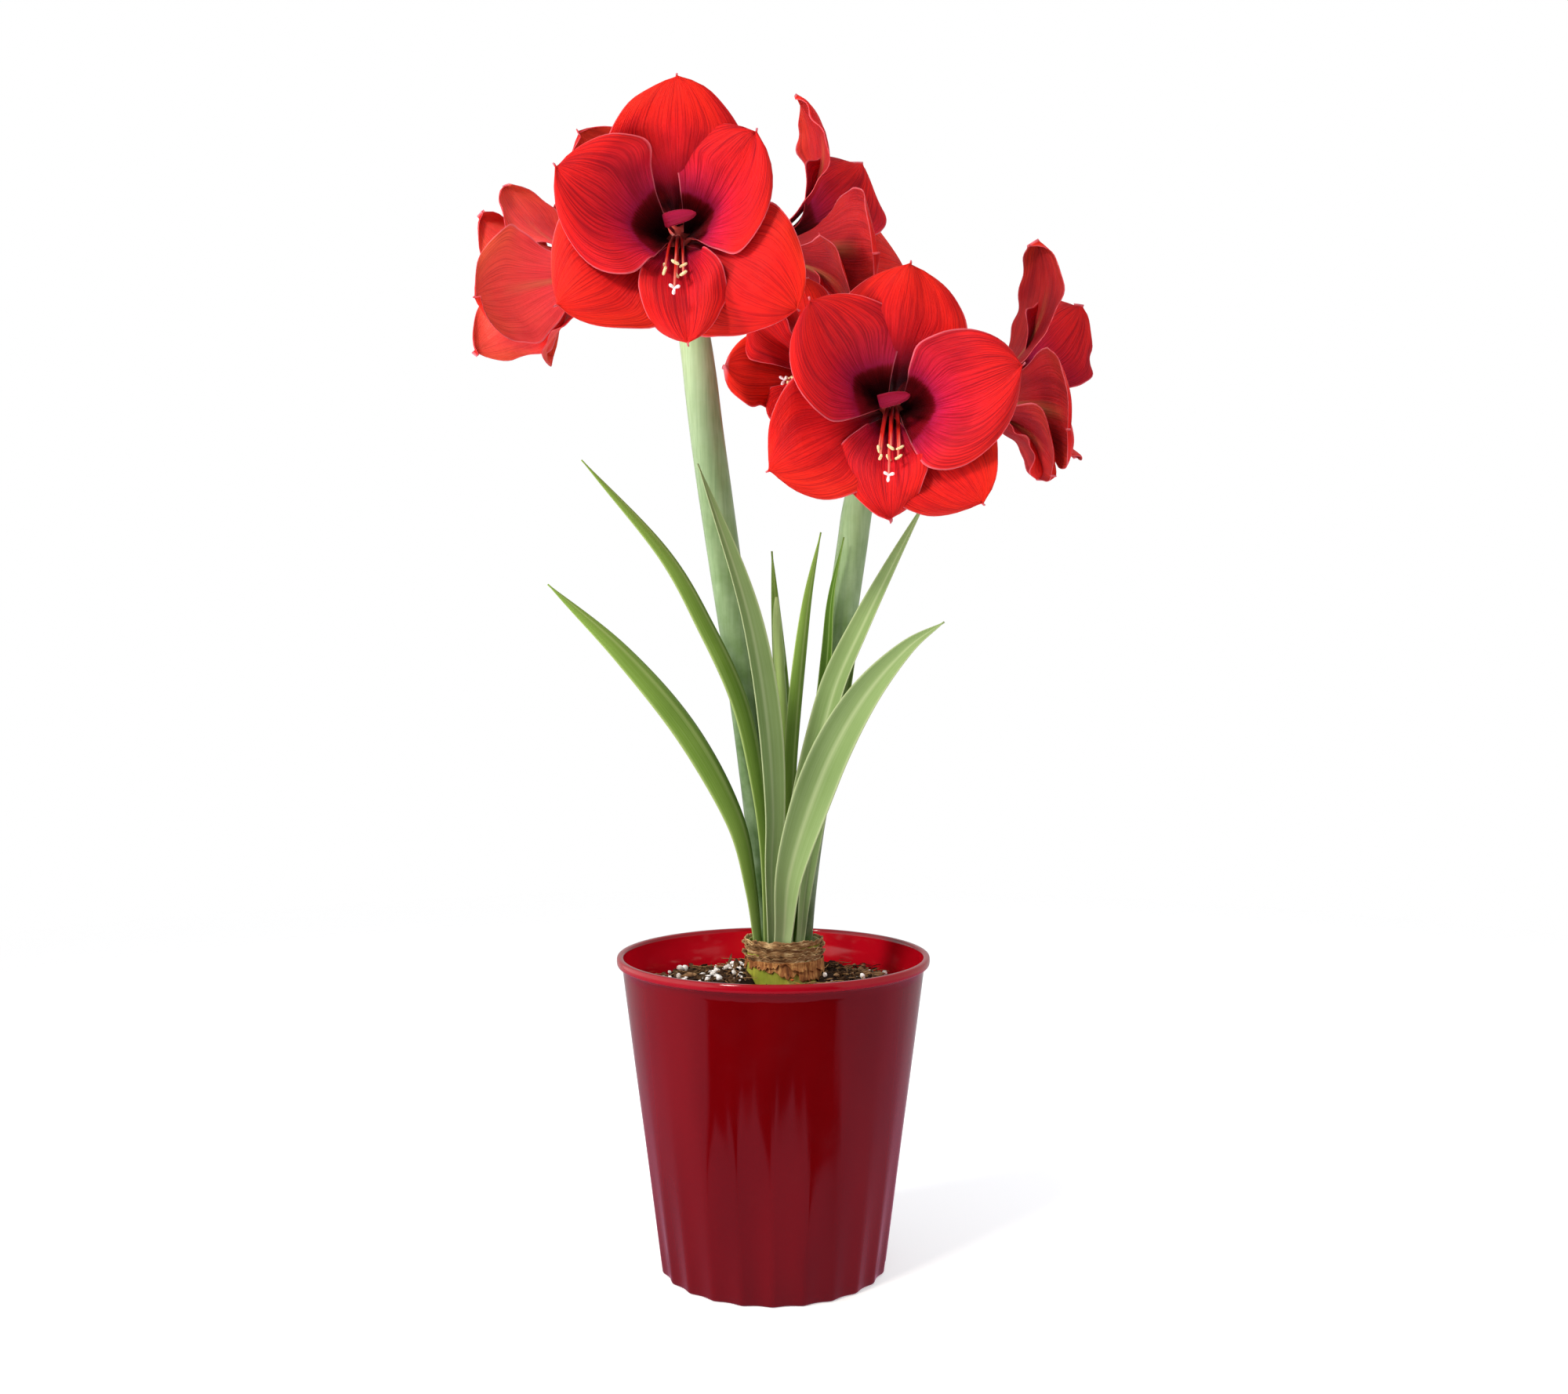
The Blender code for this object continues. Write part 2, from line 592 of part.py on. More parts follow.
def tepal_grid(spec, tepal, rng, shares, columns):
    """The middle surface of a tepal in the bloom's frame, as rows across it from tube to tip."""
    kind, azimuth, further, stretch = tepal
    steps = 120
    fine = np.linspace(0, 1, steps + 1)
    opening = spec["opening"] + further + (rng.uniform(-3, 3) if kind["inner"] else rng.uniform(4, 8))
    angle = np.radians(THROAT_ANGLE + (opening - THROAT_ANGLE) * fine**1.25)
    length = kind["length"] * stretch * spec["scale"] * MM
    radius = CLAW_RADIUS + length * np.concatenate([[0], np.cumsum(np.sin(angle[1:]))]) / steps
    height = TEPAL_START + length * np.concatenate([[0], np.cumsum(np.cos(angle[1:]))]) / steps
    phases = [rng.uniform(0, 2 * math.pi) for _ in range(2)]
    waves = rng.uniform(1.6, 2.4)
    side = 1 if kind["inner"] else -1
    grid = np.zeros((len(shares), columns + 1, 3))
    for i, share in enumerate(shares):
        r = float(np.interp(share, fine, radius))
        z = float(np.interp(share, fine, height))
        lean = float(np.interp(share, fine, angle))
        half = tepal_half_width(kind, share, r, spec["scale"])
        blade = min(1, max(0, (share - 0.2) / 0.5))
        for j, u in enumerate(np.linspace(-1, 1, columns + 1)):
            wave = math.sin(2 * math.pi * waves * share + phases[int(u > 0)])
            ruffle = RUFFLE * blade * abs(u) ** 2.5 * wave
            cup = side * CUP * math.sin(math.pi * min(1, share * 1.1)) * (abs(u) ** 1.5 - 0.4)
            curl = CURL * blade**2 * u**4
            lift = side * LAYER_STEP / 2 * (1 + LAYER_SPREAD * blade) + ruffle + cup - curl
            turn = math.radians(azimuth) + u * half / max(r, 1.11 * half)
            reach = r - lift * math.cos(lean)
            grid[i, j] = (reach * math.sin(turn), reach * math.cos(turn), z + lift * math.sin(lean))
    return grid


def tongue_grid(rows, columns):
    """The small tongue that stands out of the upper throat and bends to the right."""
    line = route_mm(((-2.5, 5.4, 7), (-3.5, 5.6, 26), (-2.5, 5.5, 44), (4, 4.5, 54), (13, 5.5, 57)), rows)
    grid = np.zeros((rows + 1, columns + 1, 3))
    for i, share in enumerate(np.linspace(0, 1, rows + 1)):
        half = (0.9 + 3.2 * math.sin(math.pi * min(1, share * 0.9)) ** 0.8) * MM
        for j, u in enumerate(np.linspace(-1, 1, columns + 1)):
            grid[i, j] = line[i] + np.array((0, u * half, -0.8 * MM * u * u))
    return grid


def make_perianth(name, spec, collection):
    """Six tepals in two layers, grown together in a short tube. One closed body."""
    rng = random.Random(spec["seed"])
    tube_line = [(0, 0, 0), (0, 0, 0.5 * TUBE_LENGTH), (0, 0, TUBE_LENGTH)]
    base = tube(name, tube_line, (4.6 * MM, TUBE_RADIUS, TUBE_RADIUS + 1.4 * MM), 8, collection)
    blades = []
    for tepal in spec["tepals"]:
        grid = tepal_grid(spec, tepal, rng, TEPAL_SHARES, TEPAL_COLUMNS)
        blades.append(sheet("tepal", grid, TEPAL_THICKNESS, collection))
    if spec["tongue"]:
        blades.append(sheet("tongue", tongue_grid(5, 2), TEPAL_THICKNESS, collection))
    made = joined(base, blades)
    made.matrix_world = bloom_matrix(spec)
    return made


def stamen_route(k, rng):
    """The way of filament k, or of the style when k is FILAMENTS, in millimetres in the bloom's frame."""
    style = k == FILAMENTS
    side = 0 if style else ((k % 3) - 1) * 4.6 + rng.uniform(-0.8, 0.8)
    reach = 62 if style else 48 + 6 * (k % 2) + rng.uniform(-2, 2)
    drop = 36 if style else 23 + 4 * (k // 3) + rng.uniform(-1, 1)
    start = (side * 0.38, -0.6 if k // 3 else 0.9, 10)
    return start, (side * 0.7, -0.26 * drop, 0.5 * reach), (side, -drop, reach)


def thread(route, rings, spec, collection):
    """A three-sided thread along the route, whose rings widen to the anther at its end."""
    points = [Vector((x, y * spec["droop"], z)) * MM * spec["scale"] for x, y, z in route]
    points[0] = Vector((route[0][0], route[0][1], route[0][2])) * MM
    line = smooth_route([np.array(p) for p in points], 20)
    made = []
    for share, radius in rings:
        if share < 1:
            centre = np.array([np.interp(share * 20, range(21), line[:, k]) for k in range(3)])
        else:
            centre = line[-1] + (line[-1] - line[-2]) * 20 * (share - 1)
        for turn in (math.pi / 2, math.pi * 7 / 6, -math.pi / 6):
            made.append(centre + np.array((math.cos(turn), math.sin(turn), 0)) * radius * MM)
    last = len(made) - 1
    faces = [(2, 1, 0), (last - 2, last - 1, last)]
    for i in range(len(rings) - 1):
        for j in range(3):
            a, b = 3 * i + j, 3 * i + (j + 1) % 3
            faces.append((a, b, b + 3, a + 3))
    return mesh_object("thread", made, faces, collection)


def make_stamens(name, spec, collection):
    """Six filaments with their anthers and the style with its stigma, from one small hub."""
    rng = random.Random(spec["seed"])
    hub_line = [(0, 0, TUBE_LENGTH + GAP), (0, 0, TUBE_LENGTH + 2.5 * MM)]
    hub = tube(name, hub_line, (HUB_RADIUS, HUB_RADIUS), 6, collection)
    parts = []
    for k in range(FILAMENTS + 1):
        rings = FILAMENT_RINGS if k < FILAMENTS else STYLE_RINGS
        parts.append(thread(stamen_route(k, rng), rings, spec, collection))
    made = joined(hub, parts)
    made.matrix_world = bloom_matrix(spec)
    return made


def main():
    clear_scene()
    collection = new_collection("amaryllis_in_pot")
    finishes = {
        "pot": material("gloss_red_plastic", (0.33, 0.004, 0.012), 0.15),
        "soil": material("potting_mix", (0.07, 0.045, 0.03), 0.95),
        "bulb": material("green_bulb", (0.28, 0.36, 0.07), 0.5),
        "tunic": material("dry_tunic", (0.30, 0.18, 0.09), 0.85),
        "leaf": material("leaf_green", (0.10, 0.23, 0.035), 0.45),
        "scape": material("scape_green", (0.17, 0.30, 0.11), 0.4),
        "petal": material("red_petal", (0.60, 0.008, 0.012), 0.5),
        "stamen": material("stamen_cream", (0.85, 0.75, 0.45), 0.6),
    }

    def finished(obj, finish):
        obj.data.materials.clear()
        obj.data.materials.append(finishes[finish])

    finished(make_pot(collection), "pot")
    finished(make_soil(collection), "soil")
    finished(make_bulb(collection), "bulb")
    finished(make_tunic_skin(collection), "tunic")
    finished(make_tunic_collar(collection), "tunic")
    for name, spec in LEAVES.items():
        finished(make_leaf(name, spec, collection), "leaf")
    finished(make_bud(collection), "scape")
    for name, spec in SCAPES.items():
        finished(make_scape(name, spec, collection), "scape")
    for name, spec in BLOOMS.items():
        finished(make_perianth("bloom_" + name, spec, collection), "petal")
        finished(make_stamens("stamens_" + name, spec, collection), "stamen")


main()
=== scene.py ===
# Amaryllis with two flower stems in a fluted red pot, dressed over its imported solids.
# Metres in the scene; shapes are worked out in millimetres and scaled at the end.
import math
import random
from functools import partial

import bmesh
import bpy
import numpy as np
from mathutils import Matrix, Vector, noise


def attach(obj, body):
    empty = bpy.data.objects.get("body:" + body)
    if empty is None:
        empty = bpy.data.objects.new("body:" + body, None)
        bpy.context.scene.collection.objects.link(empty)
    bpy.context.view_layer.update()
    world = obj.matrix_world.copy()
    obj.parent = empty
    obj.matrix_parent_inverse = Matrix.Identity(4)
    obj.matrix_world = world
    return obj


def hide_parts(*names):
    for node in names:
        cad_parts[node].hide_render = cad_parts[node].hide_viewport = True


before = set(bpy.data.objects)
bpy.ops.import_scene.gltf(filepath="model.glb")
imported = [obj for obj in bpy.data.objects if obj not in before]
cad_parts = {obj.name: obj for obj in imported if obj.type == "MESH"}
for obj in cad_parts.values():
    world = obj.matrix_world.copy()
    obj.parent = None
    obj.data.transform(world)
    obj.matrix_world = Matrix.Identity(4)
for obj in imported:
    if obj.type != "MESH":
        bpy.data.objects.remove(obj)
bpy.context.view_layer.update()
print("frame loaded:", len(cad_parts), "nodes")
mm = 0.001
fullTurn = 2 * math.pi


# Tools


def srgb(text):
    values = [int(text[k : k + 2], 16) / 255 for k in (1, 3, 5)]
    linear = [v / 12.92 if v <= 0.04045 else ((v + 0.055) / 1.055) ** 2.4 for v in values]
    return (*linear, 1.0)


# Sets inputs of a node, in order or by name or number. A value may be a hex colour, or what it is linked from.
def feed(node, inputs):
    order = (0, 6, 7) if node.type == "MIX" else range(len(inputs))  # a mix has its factor and colours there
    for key, value in inputs.items() if isinstance(inputs, dict) else zip(order, inputs):
        if isinstance(value, bpy.types.Node):
            value = value.outputs[2 if value.type == "MIX" else 0]
        if isinstance(value, bpy.types.NodeSocket):
            node.id_data.links.new(value, node.inputs[key])
        else:
            node.inputs[key].default_value = srgb(value) if isinstance(value, str) else value


# Adds a node such as "TexNoise" or "Math MULTIPLY", with its inputs, the stops of a ramp and any attributes
def addNode(tree, kind, inputs=(), stops=(), **attributes):
    kind, _, operation = kind.partition(" ")
    made = tree.nodes.new("ShaderNode" + kind)
    if operation:
        made.operation = operation
    if kind == "Mix":
        made.data_type = "RGBA"
    for name, value in attributes.items():
        setattr(made, name, value)
    if stops:
        ramp = made.color_ramp.elements
        ramp.remove(ramp[1])
        ramp[0].position, ramp[0].color = stops[0][0], srgb(stops[0][1])
        for position, paint in stops[1:]:
            ramp.new(position).color = srgb(paint)
    feed(made, inputs)
    return made


# A material, the function that adds to its nodes, and its shader
def newMaterial(name, roughness, ior=1.5, specular=0.5, others=()):
    made = bpy.data.materials.new(name)
    made.use_nodes = True
    shader = made.node_tree.nodes["Principled BSDF"]
    feed(shader, {"Roughness": roughness, "IOR": ior, "Specular IOR Level": specular, **dict(others)})
    return made, partial(addNode, made.node_tree), shader


# Gives a shader its colour and, from a height, its relief
def finish(shader, colour, height=None, strength=0.0, depthMm=0.0):
    feed(shader, {"Base Color": colour})
    if height:
        relief = {"Strength": strength, "Distance": depthMm * mm, "Height": height}
        feed(shader, {"Normal": addNode(shader.id_data, "Bump", relief)})


# Where a point lies on its blade, then how far across (-1 to 1) and how far along (0 to 1) that is
def placeOn(add):
    place = add("UVMap", uv_map="place")
    split = add("SeparateXYZ", [place])
    return place, split.outputs[0], split.outputs[1]


# How far along its blade or stem a point lies
def alongOf(add):
    return placeOn(add)[2]


# The number that each blade or crumb has of its own
def toneOf(add):
    return add("Attribute", attribute_name="tone").outputs["Fac"]


# A point's height, in metres
def heightOf(add):
    return add("SeparateXYZ", [add("TexCoord").outputs["Object"]]).outputs[2]


# Noise through the object, scaled per metre, or over another space. Either may be squeezed and shifted first.
def grainIn(add, scale, detail, squeeze=None, roughness=0.5, space=None, shift=None):
    space = space or add("TexCoord").outputs["Object"]
    if squeeze:
        space = add("VectorMath MULTIPLY", (space, squeeze))
    if shift:
        space = add("VectorMath ADD", (space, shift))
    return add("TexNoise", {"Vector": space, "Scale": scale, "Detail": detail, "Roughness": roughness})


# Lays a paint over a colour where the mask runs from low to high, as thickly as the amount says
def tinted(add, colour, mask, low, high, amount, paint):
    return add("Mix", (add("MapRange", (mask, low, high, 0, amount)), colour, paint))


# A finish of one grain: its colour runs over the grain, and over what is added to a share of it
def grainMaterial(name, look, grain, stops, relief=(), share=1.0, added=None):
    made, add, shader = newMaterial(name, *look)
    speckle = grainIn(add, *grain)
    shade = add("Math MULTIPLY_ADD", (speckle, share, added(add))) if added else speckle
    finish(shader, add("ValToRGB", [shade], stops), *([speckle, *relief] if relief else []))
    return made


# A smooth line through the points, cut into even steps
def smoothRoute(points, count):
    points = [np.array(p, float) for p in points]
    ends = [2 * points[0] - points[1], *points, 2 * points[-1] - points[-2]]
    fine = []
    for a, b, c, d in zip(ends, ends[1:], ends[2:], ends[3:]):
        square, cube = 2 * a - 5 * b + 4 * c - d, 3 * b - a - 3 * c + d
        for t in np.linspace(0, 1, 12, endpoint=False):
            fine.append(b + ((c - a) * t + square * t**2 + cube * t**3) / 2)
    fine = np.array([*fine, points[-1]])
    along = lengthsAlong(fine)
    wanted = np.linspace(0, along[-1], count + 1)
    return stacked(*[np.interp(wanted, along, column) for column in fine.T])


# Arrays or numbers as the columns of one array
def stacked(*parts):
    return np.stack(np.broadcast_arrays(*parts), axis=-1)


def lengthsAlong(line):
    return np.concatenate([[0], np.cumsum(np.linalg.norm(np.diff(line, axis=0), axis=1))])


def unit(vectors):
    return vectors / np.maximum(np.linalg.norm(vectors, axis=-1, keepdims=True), 1e-9)


def smoothStep(values):
    values = np.clip(values, 0, 1)
    return values * values * (3 - 2 * values)


# One lump of geometry: points in mm, faces, a place per point (read by the materials as a UV map), a tone and a slot.
def shape(points, faces, place=None, tone=0.0, slot=0):
    points = np.asarray(points, float).reshape(-1, 3)
    place = np.zeros((len(points), 2)) if place is None else np.asarray(place, float).reshape(-1, 2)
    slots = np.broadcast_to(slot, (len(faces),))
    return dict(points=points, faces=faces, place=place, tone=np.full(len(points), float(tone)), slots=slots)


def gridFaces(rows, columns, closed=False, start=0, flip=False):
    faces = []
    for i in range(rows - 1):
        for j in range(columns if closed else columns - 1):
            k = (j + 1) % columns
            a, b = start + i * columns + j, start + i * columns + k
            face = (a, b, b + columns, a + columns)
            faces.append(face[::-1] if flip else face)
    return faces


# The angles of points spread evenly round a ring
def ringAngles(count):
    return np.linspace(0, fullTurn, count, endpoint=False)


# A ring of points, or part of one, from its radius and height, each a number or one for every angle
def ringAt(radius, angles, height, middle=0.0):
    return stacked(middle + radius * np.cos(angles), radius * np.sin(angles), height)


# A closed skin over a stack of rings, with one point in the middle of either end
def closedSkin(first, rings, last):
    sides = len(rings[0])
    faces = gridFaces(len(rings), sides, closed=True, start=1)
    end = 1 + len(rings) * sides
    faces += [(0, 1 + (j + 1) % sides, 1 + j) for j in range(sides)]
    faces += [(end, end - sides + j, end - sides + (j + 1) % sides) for j in range(sides)]
    return np.concatenate([[first], *rings, [last]]), faces


# A blade with its two faces and its rim. Slots are given for the front, the back and the rim.
def bladeShape(grid, thickness, place, slots, tone=0.0):
    rows, columns = grid.shape[:2]
    normals = unit(np.cross(np.gradient(grid, axis=1), np.gradient(grid, axis=0)))
    half = (np.asarray(thickness, float) / 2)[..., None] * normals
    points = np.concatenate([(grid + half).reshape(-1, 3), (grid - half).reshape(-1, 3)])
    count = rows * columns
    front = gridFaces(rows, columns)
    back = gridFaces(rows, columns, start=count, flip=True)
    edge = [*range(columns)]
    edge += [i * columns + columns - 1 for i in range(1, rows)]
    edge += [(rows - 1) * columns + j for j in range(columns - 2, -1, -1)]
    edge += [i * columns for i in range(rows - 2, 0, -1)]
    rim = [(a, a + count, b + count, b) for a, b in zip(edge, edge[1:] + edge[:1])]
    both = np.concatenate([place.reshape(-1, 2)] * 2)
    slot = [slots[0]] * len(front) + [slots[1]] * len(back) + [slots[2]] * len(rim)
    return shape(points, front + back + rim, both, tone, slot)


# A round stem along a line. The radius may be a number for each ring, or a table of rings by sides.
def stemShape(line, radii, sides, tone=0.0, slot=0, flat=1.0):
    line = np.asarray(line, float)
    tangents = unit(np.gradient(line, axis=0))
    side = unit(np.cross(tangents[0], (0.31, 0.17, 0.93) if abs(tangents[0][2]) < 0.9 else (0, 1, 0)))
    turns = ringAngles(sides)[:, None]
    radii = np.asarray(radii, float)
    radii = np.repeat(radii[:, None], sides, axis=1) if radii.ndim == 1 else radii
    rings = []
    for centre, tangent, radius in zip(line, tangents, radii):
        side = unit(side - tangent * side.dot(tangent))
        around = side * np.cos(turns) + np.cross(tangent, side) * np.sin(turns) * flat
        rings.append(centre + around * radius[:, None])
    points, faces = closedSkin(line[0], rings, line[-1])
    share = np.concatenate([[0], np.repeat(np.linspace(0, 1, len(line)), sides), [1]])
    return shape(points, faces, stacked(0, share), tone, slot)


# A short straight stem that stands up along z
def plug(low, high, radii, sides, slot=0):
    return stemShape(stacked(0, 0, np.linspace(low, high, len(radii))), radii, sides, slot=slot)


def moved(part, matrix):
    turn, shift = np.array(matrix.to_3x3()), np.array(matrix.translation)
    part["points"] = part["points"] @ turn.T + shift
    return part


def addPiece(name, parts, materials, nodes):
    start, points, faces = 0, [], []
    for part in parts:
        points.append(part["points"])
        faces += [tuple(v + start for v in face) for face in part["faces"]]
        start += len(part["points"])
    mesh = bpy.data.meshes.new(name)
    mesh.from_pydata((np.concatenate(points) * mm).tolist(), [], faces)
    place = np.concatenate([part["place"] for part in parts])
    corners = np.empty(len(mesh.loops), int)
    mesh.loops.foreach_get("vertex_index", corners)
    mesh.uv_layers.new(name="place").data.foreach_set("uv", place[corners].ravel())
    tone = mesh.attributes.new("tone", "FLOAT", "POINT")
    tone.data.foreach_set("value", np.concatenate([part["tone"] for part in parts]))
    mesh.polygons.foreach_set("material_index", np.concatenate([part["slots"] for part in parts]).astype(np.int32))
    mesh.polygons.foreach_set("use_smooth", np.ones(len(mesh.polygons), bool))
    for material in materials:
        mesh.materials.append(material)
    mesh.update()
    piece = bpy.data.objects.new(name, mesh)
    bpy.context.scene.collection.objects.link(piece)
    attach(piece, "root")
    if nodes:
        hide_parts(*nodes)


# Petals

# A petal is a thin living sheet, velvety from its domed cells: matt and saturated, with a soft
# sheen at grazing light, fine veins along it and a little light coming through.
# Each ramp runs out from the throat. Its near-black start is partly the throat's own pigment and partly painted shade
# deep in the funnel. The purplish band just after it is a painted velvet sheen.
petalFinish = {
    "inner": {
        "stops": ((0.0, "#0c0102"), (0.25, "#1c0103"), (0.36, "#360104"), (0.45, "#5a0208"), (0.468, "#700616"),
                  (0.488, "#a41a48"), (0.56, "#bc1a3e"), (0.7, "#cc1a28"), (0.85, "#d81c1e"), (1.0, "#e0221e")),
        "bright": "#f02412", "deep": "#8c0a1e", "vein": "#74051a", "veinAmount": 0.62,
    },
    "outer": {
        "stops": ((0.0, "#0c0102"), (0.2, "#260206"), (0.33, "#600718"), (0.42, "#9c102c"), (0.55, "#c81620"),
                  (0.8, "#da1c18"), (1.0, "#e22418")),
        "bright": "#f23616", "deep": "#a80c18", "vein": "#900614", "veinAmount": 0.55,
    },
    "back": {
        "stops": ((0.0, "#93a05a"), (0.1, "#ac6a48"), (0.22, "#b83e34"), (0.5, "#c62a2c"), (0.8, "#d42e28"),
                  (1.0, "#de3a26")),
        "bright": "#f05a34", "deep": "#981820", "vein": "#86101c", "veinAmount": 0.45,
    },
    # A paler copy of the reverse: painted light, for petals lit through by the lamp
    "paintedLitBack": {
        "stops": ((0.0, "#93a05a"), (0.1, "#c47a50"), (0.22, "#e2524a"), (0.5, "#f6444c"), (0.8, "#fa4c48"),
                  (1.0, "#fa5644")),
        "bright": "#ff7448", "deep": "#c83438", "vein": "#b82a30", "veinAmount": 0.4,
    },
    # A deeper copy of the reverse: painted shade, for petals in the shadow of the blooms in front
    "paintedShadeBack": {
        "stops": ((0.0, "#8a9450"), (0.1, "#9a5c3c"), (0.22, "#962a2a"), (0.5, "#a01c24"), (0.8, "#b82428"),
                  (1.0, "#c62c28")),
        "bright": "#d2402a", "deep": "#74101c", "vein": "#680c18", "veinAmount": 0.5,
    },
}


def petalMaterial(name, finishName):
    paints = petalFinish[finishName]
    made, add, shader = newMaterial(name, 0.52, 1.4, 0.16, {
        "Sheen Weight": 0.03, "Sheen Roughness": 0.4, "Sheen Tint": "#ff8088", "Subsurface Weight": 0.35,
        "Subsurface Radius": (1.0, 0.14, 0.07), "Subsurface Scale": 0.7 * mm,
    })
    place, side, along = placeOn(add)
    across = add("Math ABSOLUTE", [side])
    own = add("CombineXYZ", {"Z": toneOf(add)})
    # Veins lie about 1.5 mm apart across a blade some 70 mm wide, which is a little coarser than real
    veins = grainIn(add, 1.9, 3, (23, 1.6, 0), 0.62, place, own)
    # Blotches of lighter and deeper red, some 20 mm across: partly the petal's own uneven colour, partly painted light
    # and painted shade standing for the blade's relief
    clouds = grainIn(add, 1.5, 2, (0.9, 2.2, 0), 0.5, place, own)
    # The dark throat, partly the petal's own pigment and partly painted shade deep in the funnel, ends in a feathered
    # edge that runs out along the veins
    feathered = add("Math SUBTRACT", (add("Math MULTIPLY_ADD", (veins, 0.09, along)), 0.045))
    colour = add("ValToRGB", [feathered], paints["stops"])
    # Brighter clouds lie out on the blade, most of all towards its margins: partly own colour, partly painted light
    blade = add("MapRange", (along, 0.42, 0.8))
    margin = add("MapRange", (across, 0.35, 1, 0.15, 0.6))
    cloudy = add("MapRange", (clouds, 0.38, 0.66))
    light = add("Math MULTIPLY", (add("Math MULTIPLY", (blade, margin)), cloudy))
    colour = add("Mix", (light, colour, paints["bright"]))
    # Deeper clouds: partly own colour, partly painted shade
    colour = tinted(add, colour, clouds, 0.47, 0.3, 0.5, paints["deep"])
    veinShare = add("MapRange", (along, 0.3, 0.55, 0.1, paints["veinAmount"]))
    dark = add("Math MULTIPLY", (add("MapRange", (veins, 0.44, 0.62)), veinShare))
    colour = add("Mix", (dark, colour, paints["vein"]))
    if "Back" in name:  # a beige-green stripe along the midrib, as outer petals have on the reverse
        fade = add("MapRange", (along, 0.78, 0.3, 0, 0.62))
        stripe = add("Math MULTIPLY", (add("MapRange", (across, 0.16, 0.02)), fade))
        colour = add("Mix", (stripe, colour, "#b98a5a"))
    # The margin and the very tip are painted pale pink. This is partly colour lost where the blade thins out to
    # nothing, and partly a painted highlight where the thin edge catches the light.
    tip = add("MapRange", (along, 0.982, 0.998, 0, 0.85))
    fadedAndLitEdge = add("Math MAXIMUM", (add("MapRange", (across, 0.965, 1, 0, 0.55)), tip))
    colour = add("Mix", (fadedAndLitEdge, colour, "#f08a98"))
    # Low ripples run across between the veins, some 2 mm apart
    crinkle = grainIn(add, 1.9, 2, (7, 26, 0), 0.5, place, own)
    finish(shader, colour, add("Math MULTIPLY_ADD", (crinkle, 0.45, veins)), 0.8, 0.75)
    return made


def petalSet(backName, finishName):
    return [petalInner, petalOuter, petalMaterial(backName, finishName), petalRim, flowerTube]


petalInner, petalOuter = petalMaterial("petalInner", "inner"), petalMaterial("petalOuter", "outer")
# The cut-thin margin: paler where it has no thickness to colour it, and partly a painted highlight where the edge
# catches the light
petalRim = grainMaterial(
    "petalRim", (0.5, 1.5, 0.5, {"Subsurface Weight": 0.1, "Subsurface Scale": 1.2 * mm}), (260, 2),
    ((0.35, "#b81c26"), (0.65, "#dc4a54")))
# The short tube under the petals: waxy green flushed with pink
flowerTube = grainMaterial(
    "flowerTube", (0.38, 1.42, 0.4), (120, 3), ((0.1, "#7d9a4c"), (0.6, "#a98a58"), (1.0, "#b8433c")),
    (0.3, 0.3), 0.35, alongOf)
# The blooms that face left have the reverse painted paler, as painted light from the lamp on the left shining through
# them. Those that face right have it painted deeper, as painted shade from the blooms in front.
redBacked, paintedLitBacked, paintedShadeBacked = [petalSet(*names) for names in (
    ("petalBack", "back"), ("petalBackPaintedLit", "paintedLitBack"), ("petalBackPaintedShade", "paintedShadeBack"))]

# The funnel of a petal along its length, in mm and degrees
funnel = {
    "clawRadius": 3.7, "start": 2, "thickness": 0.75, "throatAngle": 13, "layerStep": 1.3, "layerSpread": 6,
    "curl": 3.2, "rows": 54, "columns": 40, "steps": 120, "frill": 1.0, "groove": 0.6, "edge": 0.08, "nibble": 0.5,
    "tip": 1.022, "tubeHeight": 11.5, "tubeRadii": (4.6, 4.9, 5.2, 5.8, 6.6, 7.2), "tubeSides": 36,
}
# What a petal may change: how far it wraps the throat, how its tip is pulled round (skew) and turned over (twist),
# how deep it is cupped and folded, how much its margins wave, and how soon its dark throat ends. A throat that ends
# early also paints the petal brighter: painted light, for a lamp shining through it.
petalForm = dict(wrap=0.95, skew=0, twist=0, cup=3, fold=2, ruffle=3.2, recurve=14, warp=2.2, dark=0)
outer = dict(petalForm, inner=0, length=96, half=34, dark=0.1)
broad = dict(petalForm, inner=0, length=96, half=39, dark=0.08)
inner = dict(petalForm, inner=1, length=92, half=34, cup=3.6)
wide = dict(petalForm, inner=1, length=92, half=40.5, wrap=1.25, cup=4.2, fold=1.8)
lip = dict(petalForm, inner=1, length=86, half=24, ruffle=4.2, cup=2, dark=0.2)


# One petal: its kind, its turn round the bloom, how much further it opens, its stretch and what it changes
def petal(kind, azimuth, further=0.0, stretch=1.0, **own):
    return {**kind, "azimuth": azimuth, "further": further, "stretch": stretch, **own}


rightUpper = (
    petal(outer, -4, 32, 1.24, twist=-16, half=20), petal(outer, 94, -46, 1.28, twist=10, half=34),
    petal(outer, -144, -2, 1.0, ruffle=4), petal(inner, 27, -20, 1.04, twist=52, half=33, wrap=1.3),
    petal(inner, -112, -9, 1.05, ruffle=1.6, half=45, cup=7, wrap=1.4), petal(lip, 176, -10, 1, twist=-30),
)
rightSide = (
    petal(outer, -5, 9, 1.26, twist=-22, half=24), petal(outer, 129, -38, 1.02, twist=18, half=26),
    petal(outer, -152, -2, 0.86, ruffle=2), petal(inner, 30, -26, 1.17, twist=50, half=32, wrap=1.3),
    petal(inner, -115, 24, 1.03, ruffle=1.2, half=41, wrap=1.4, cup=2), petal(lip, 178, 0, 0.8, twist=-30),
)
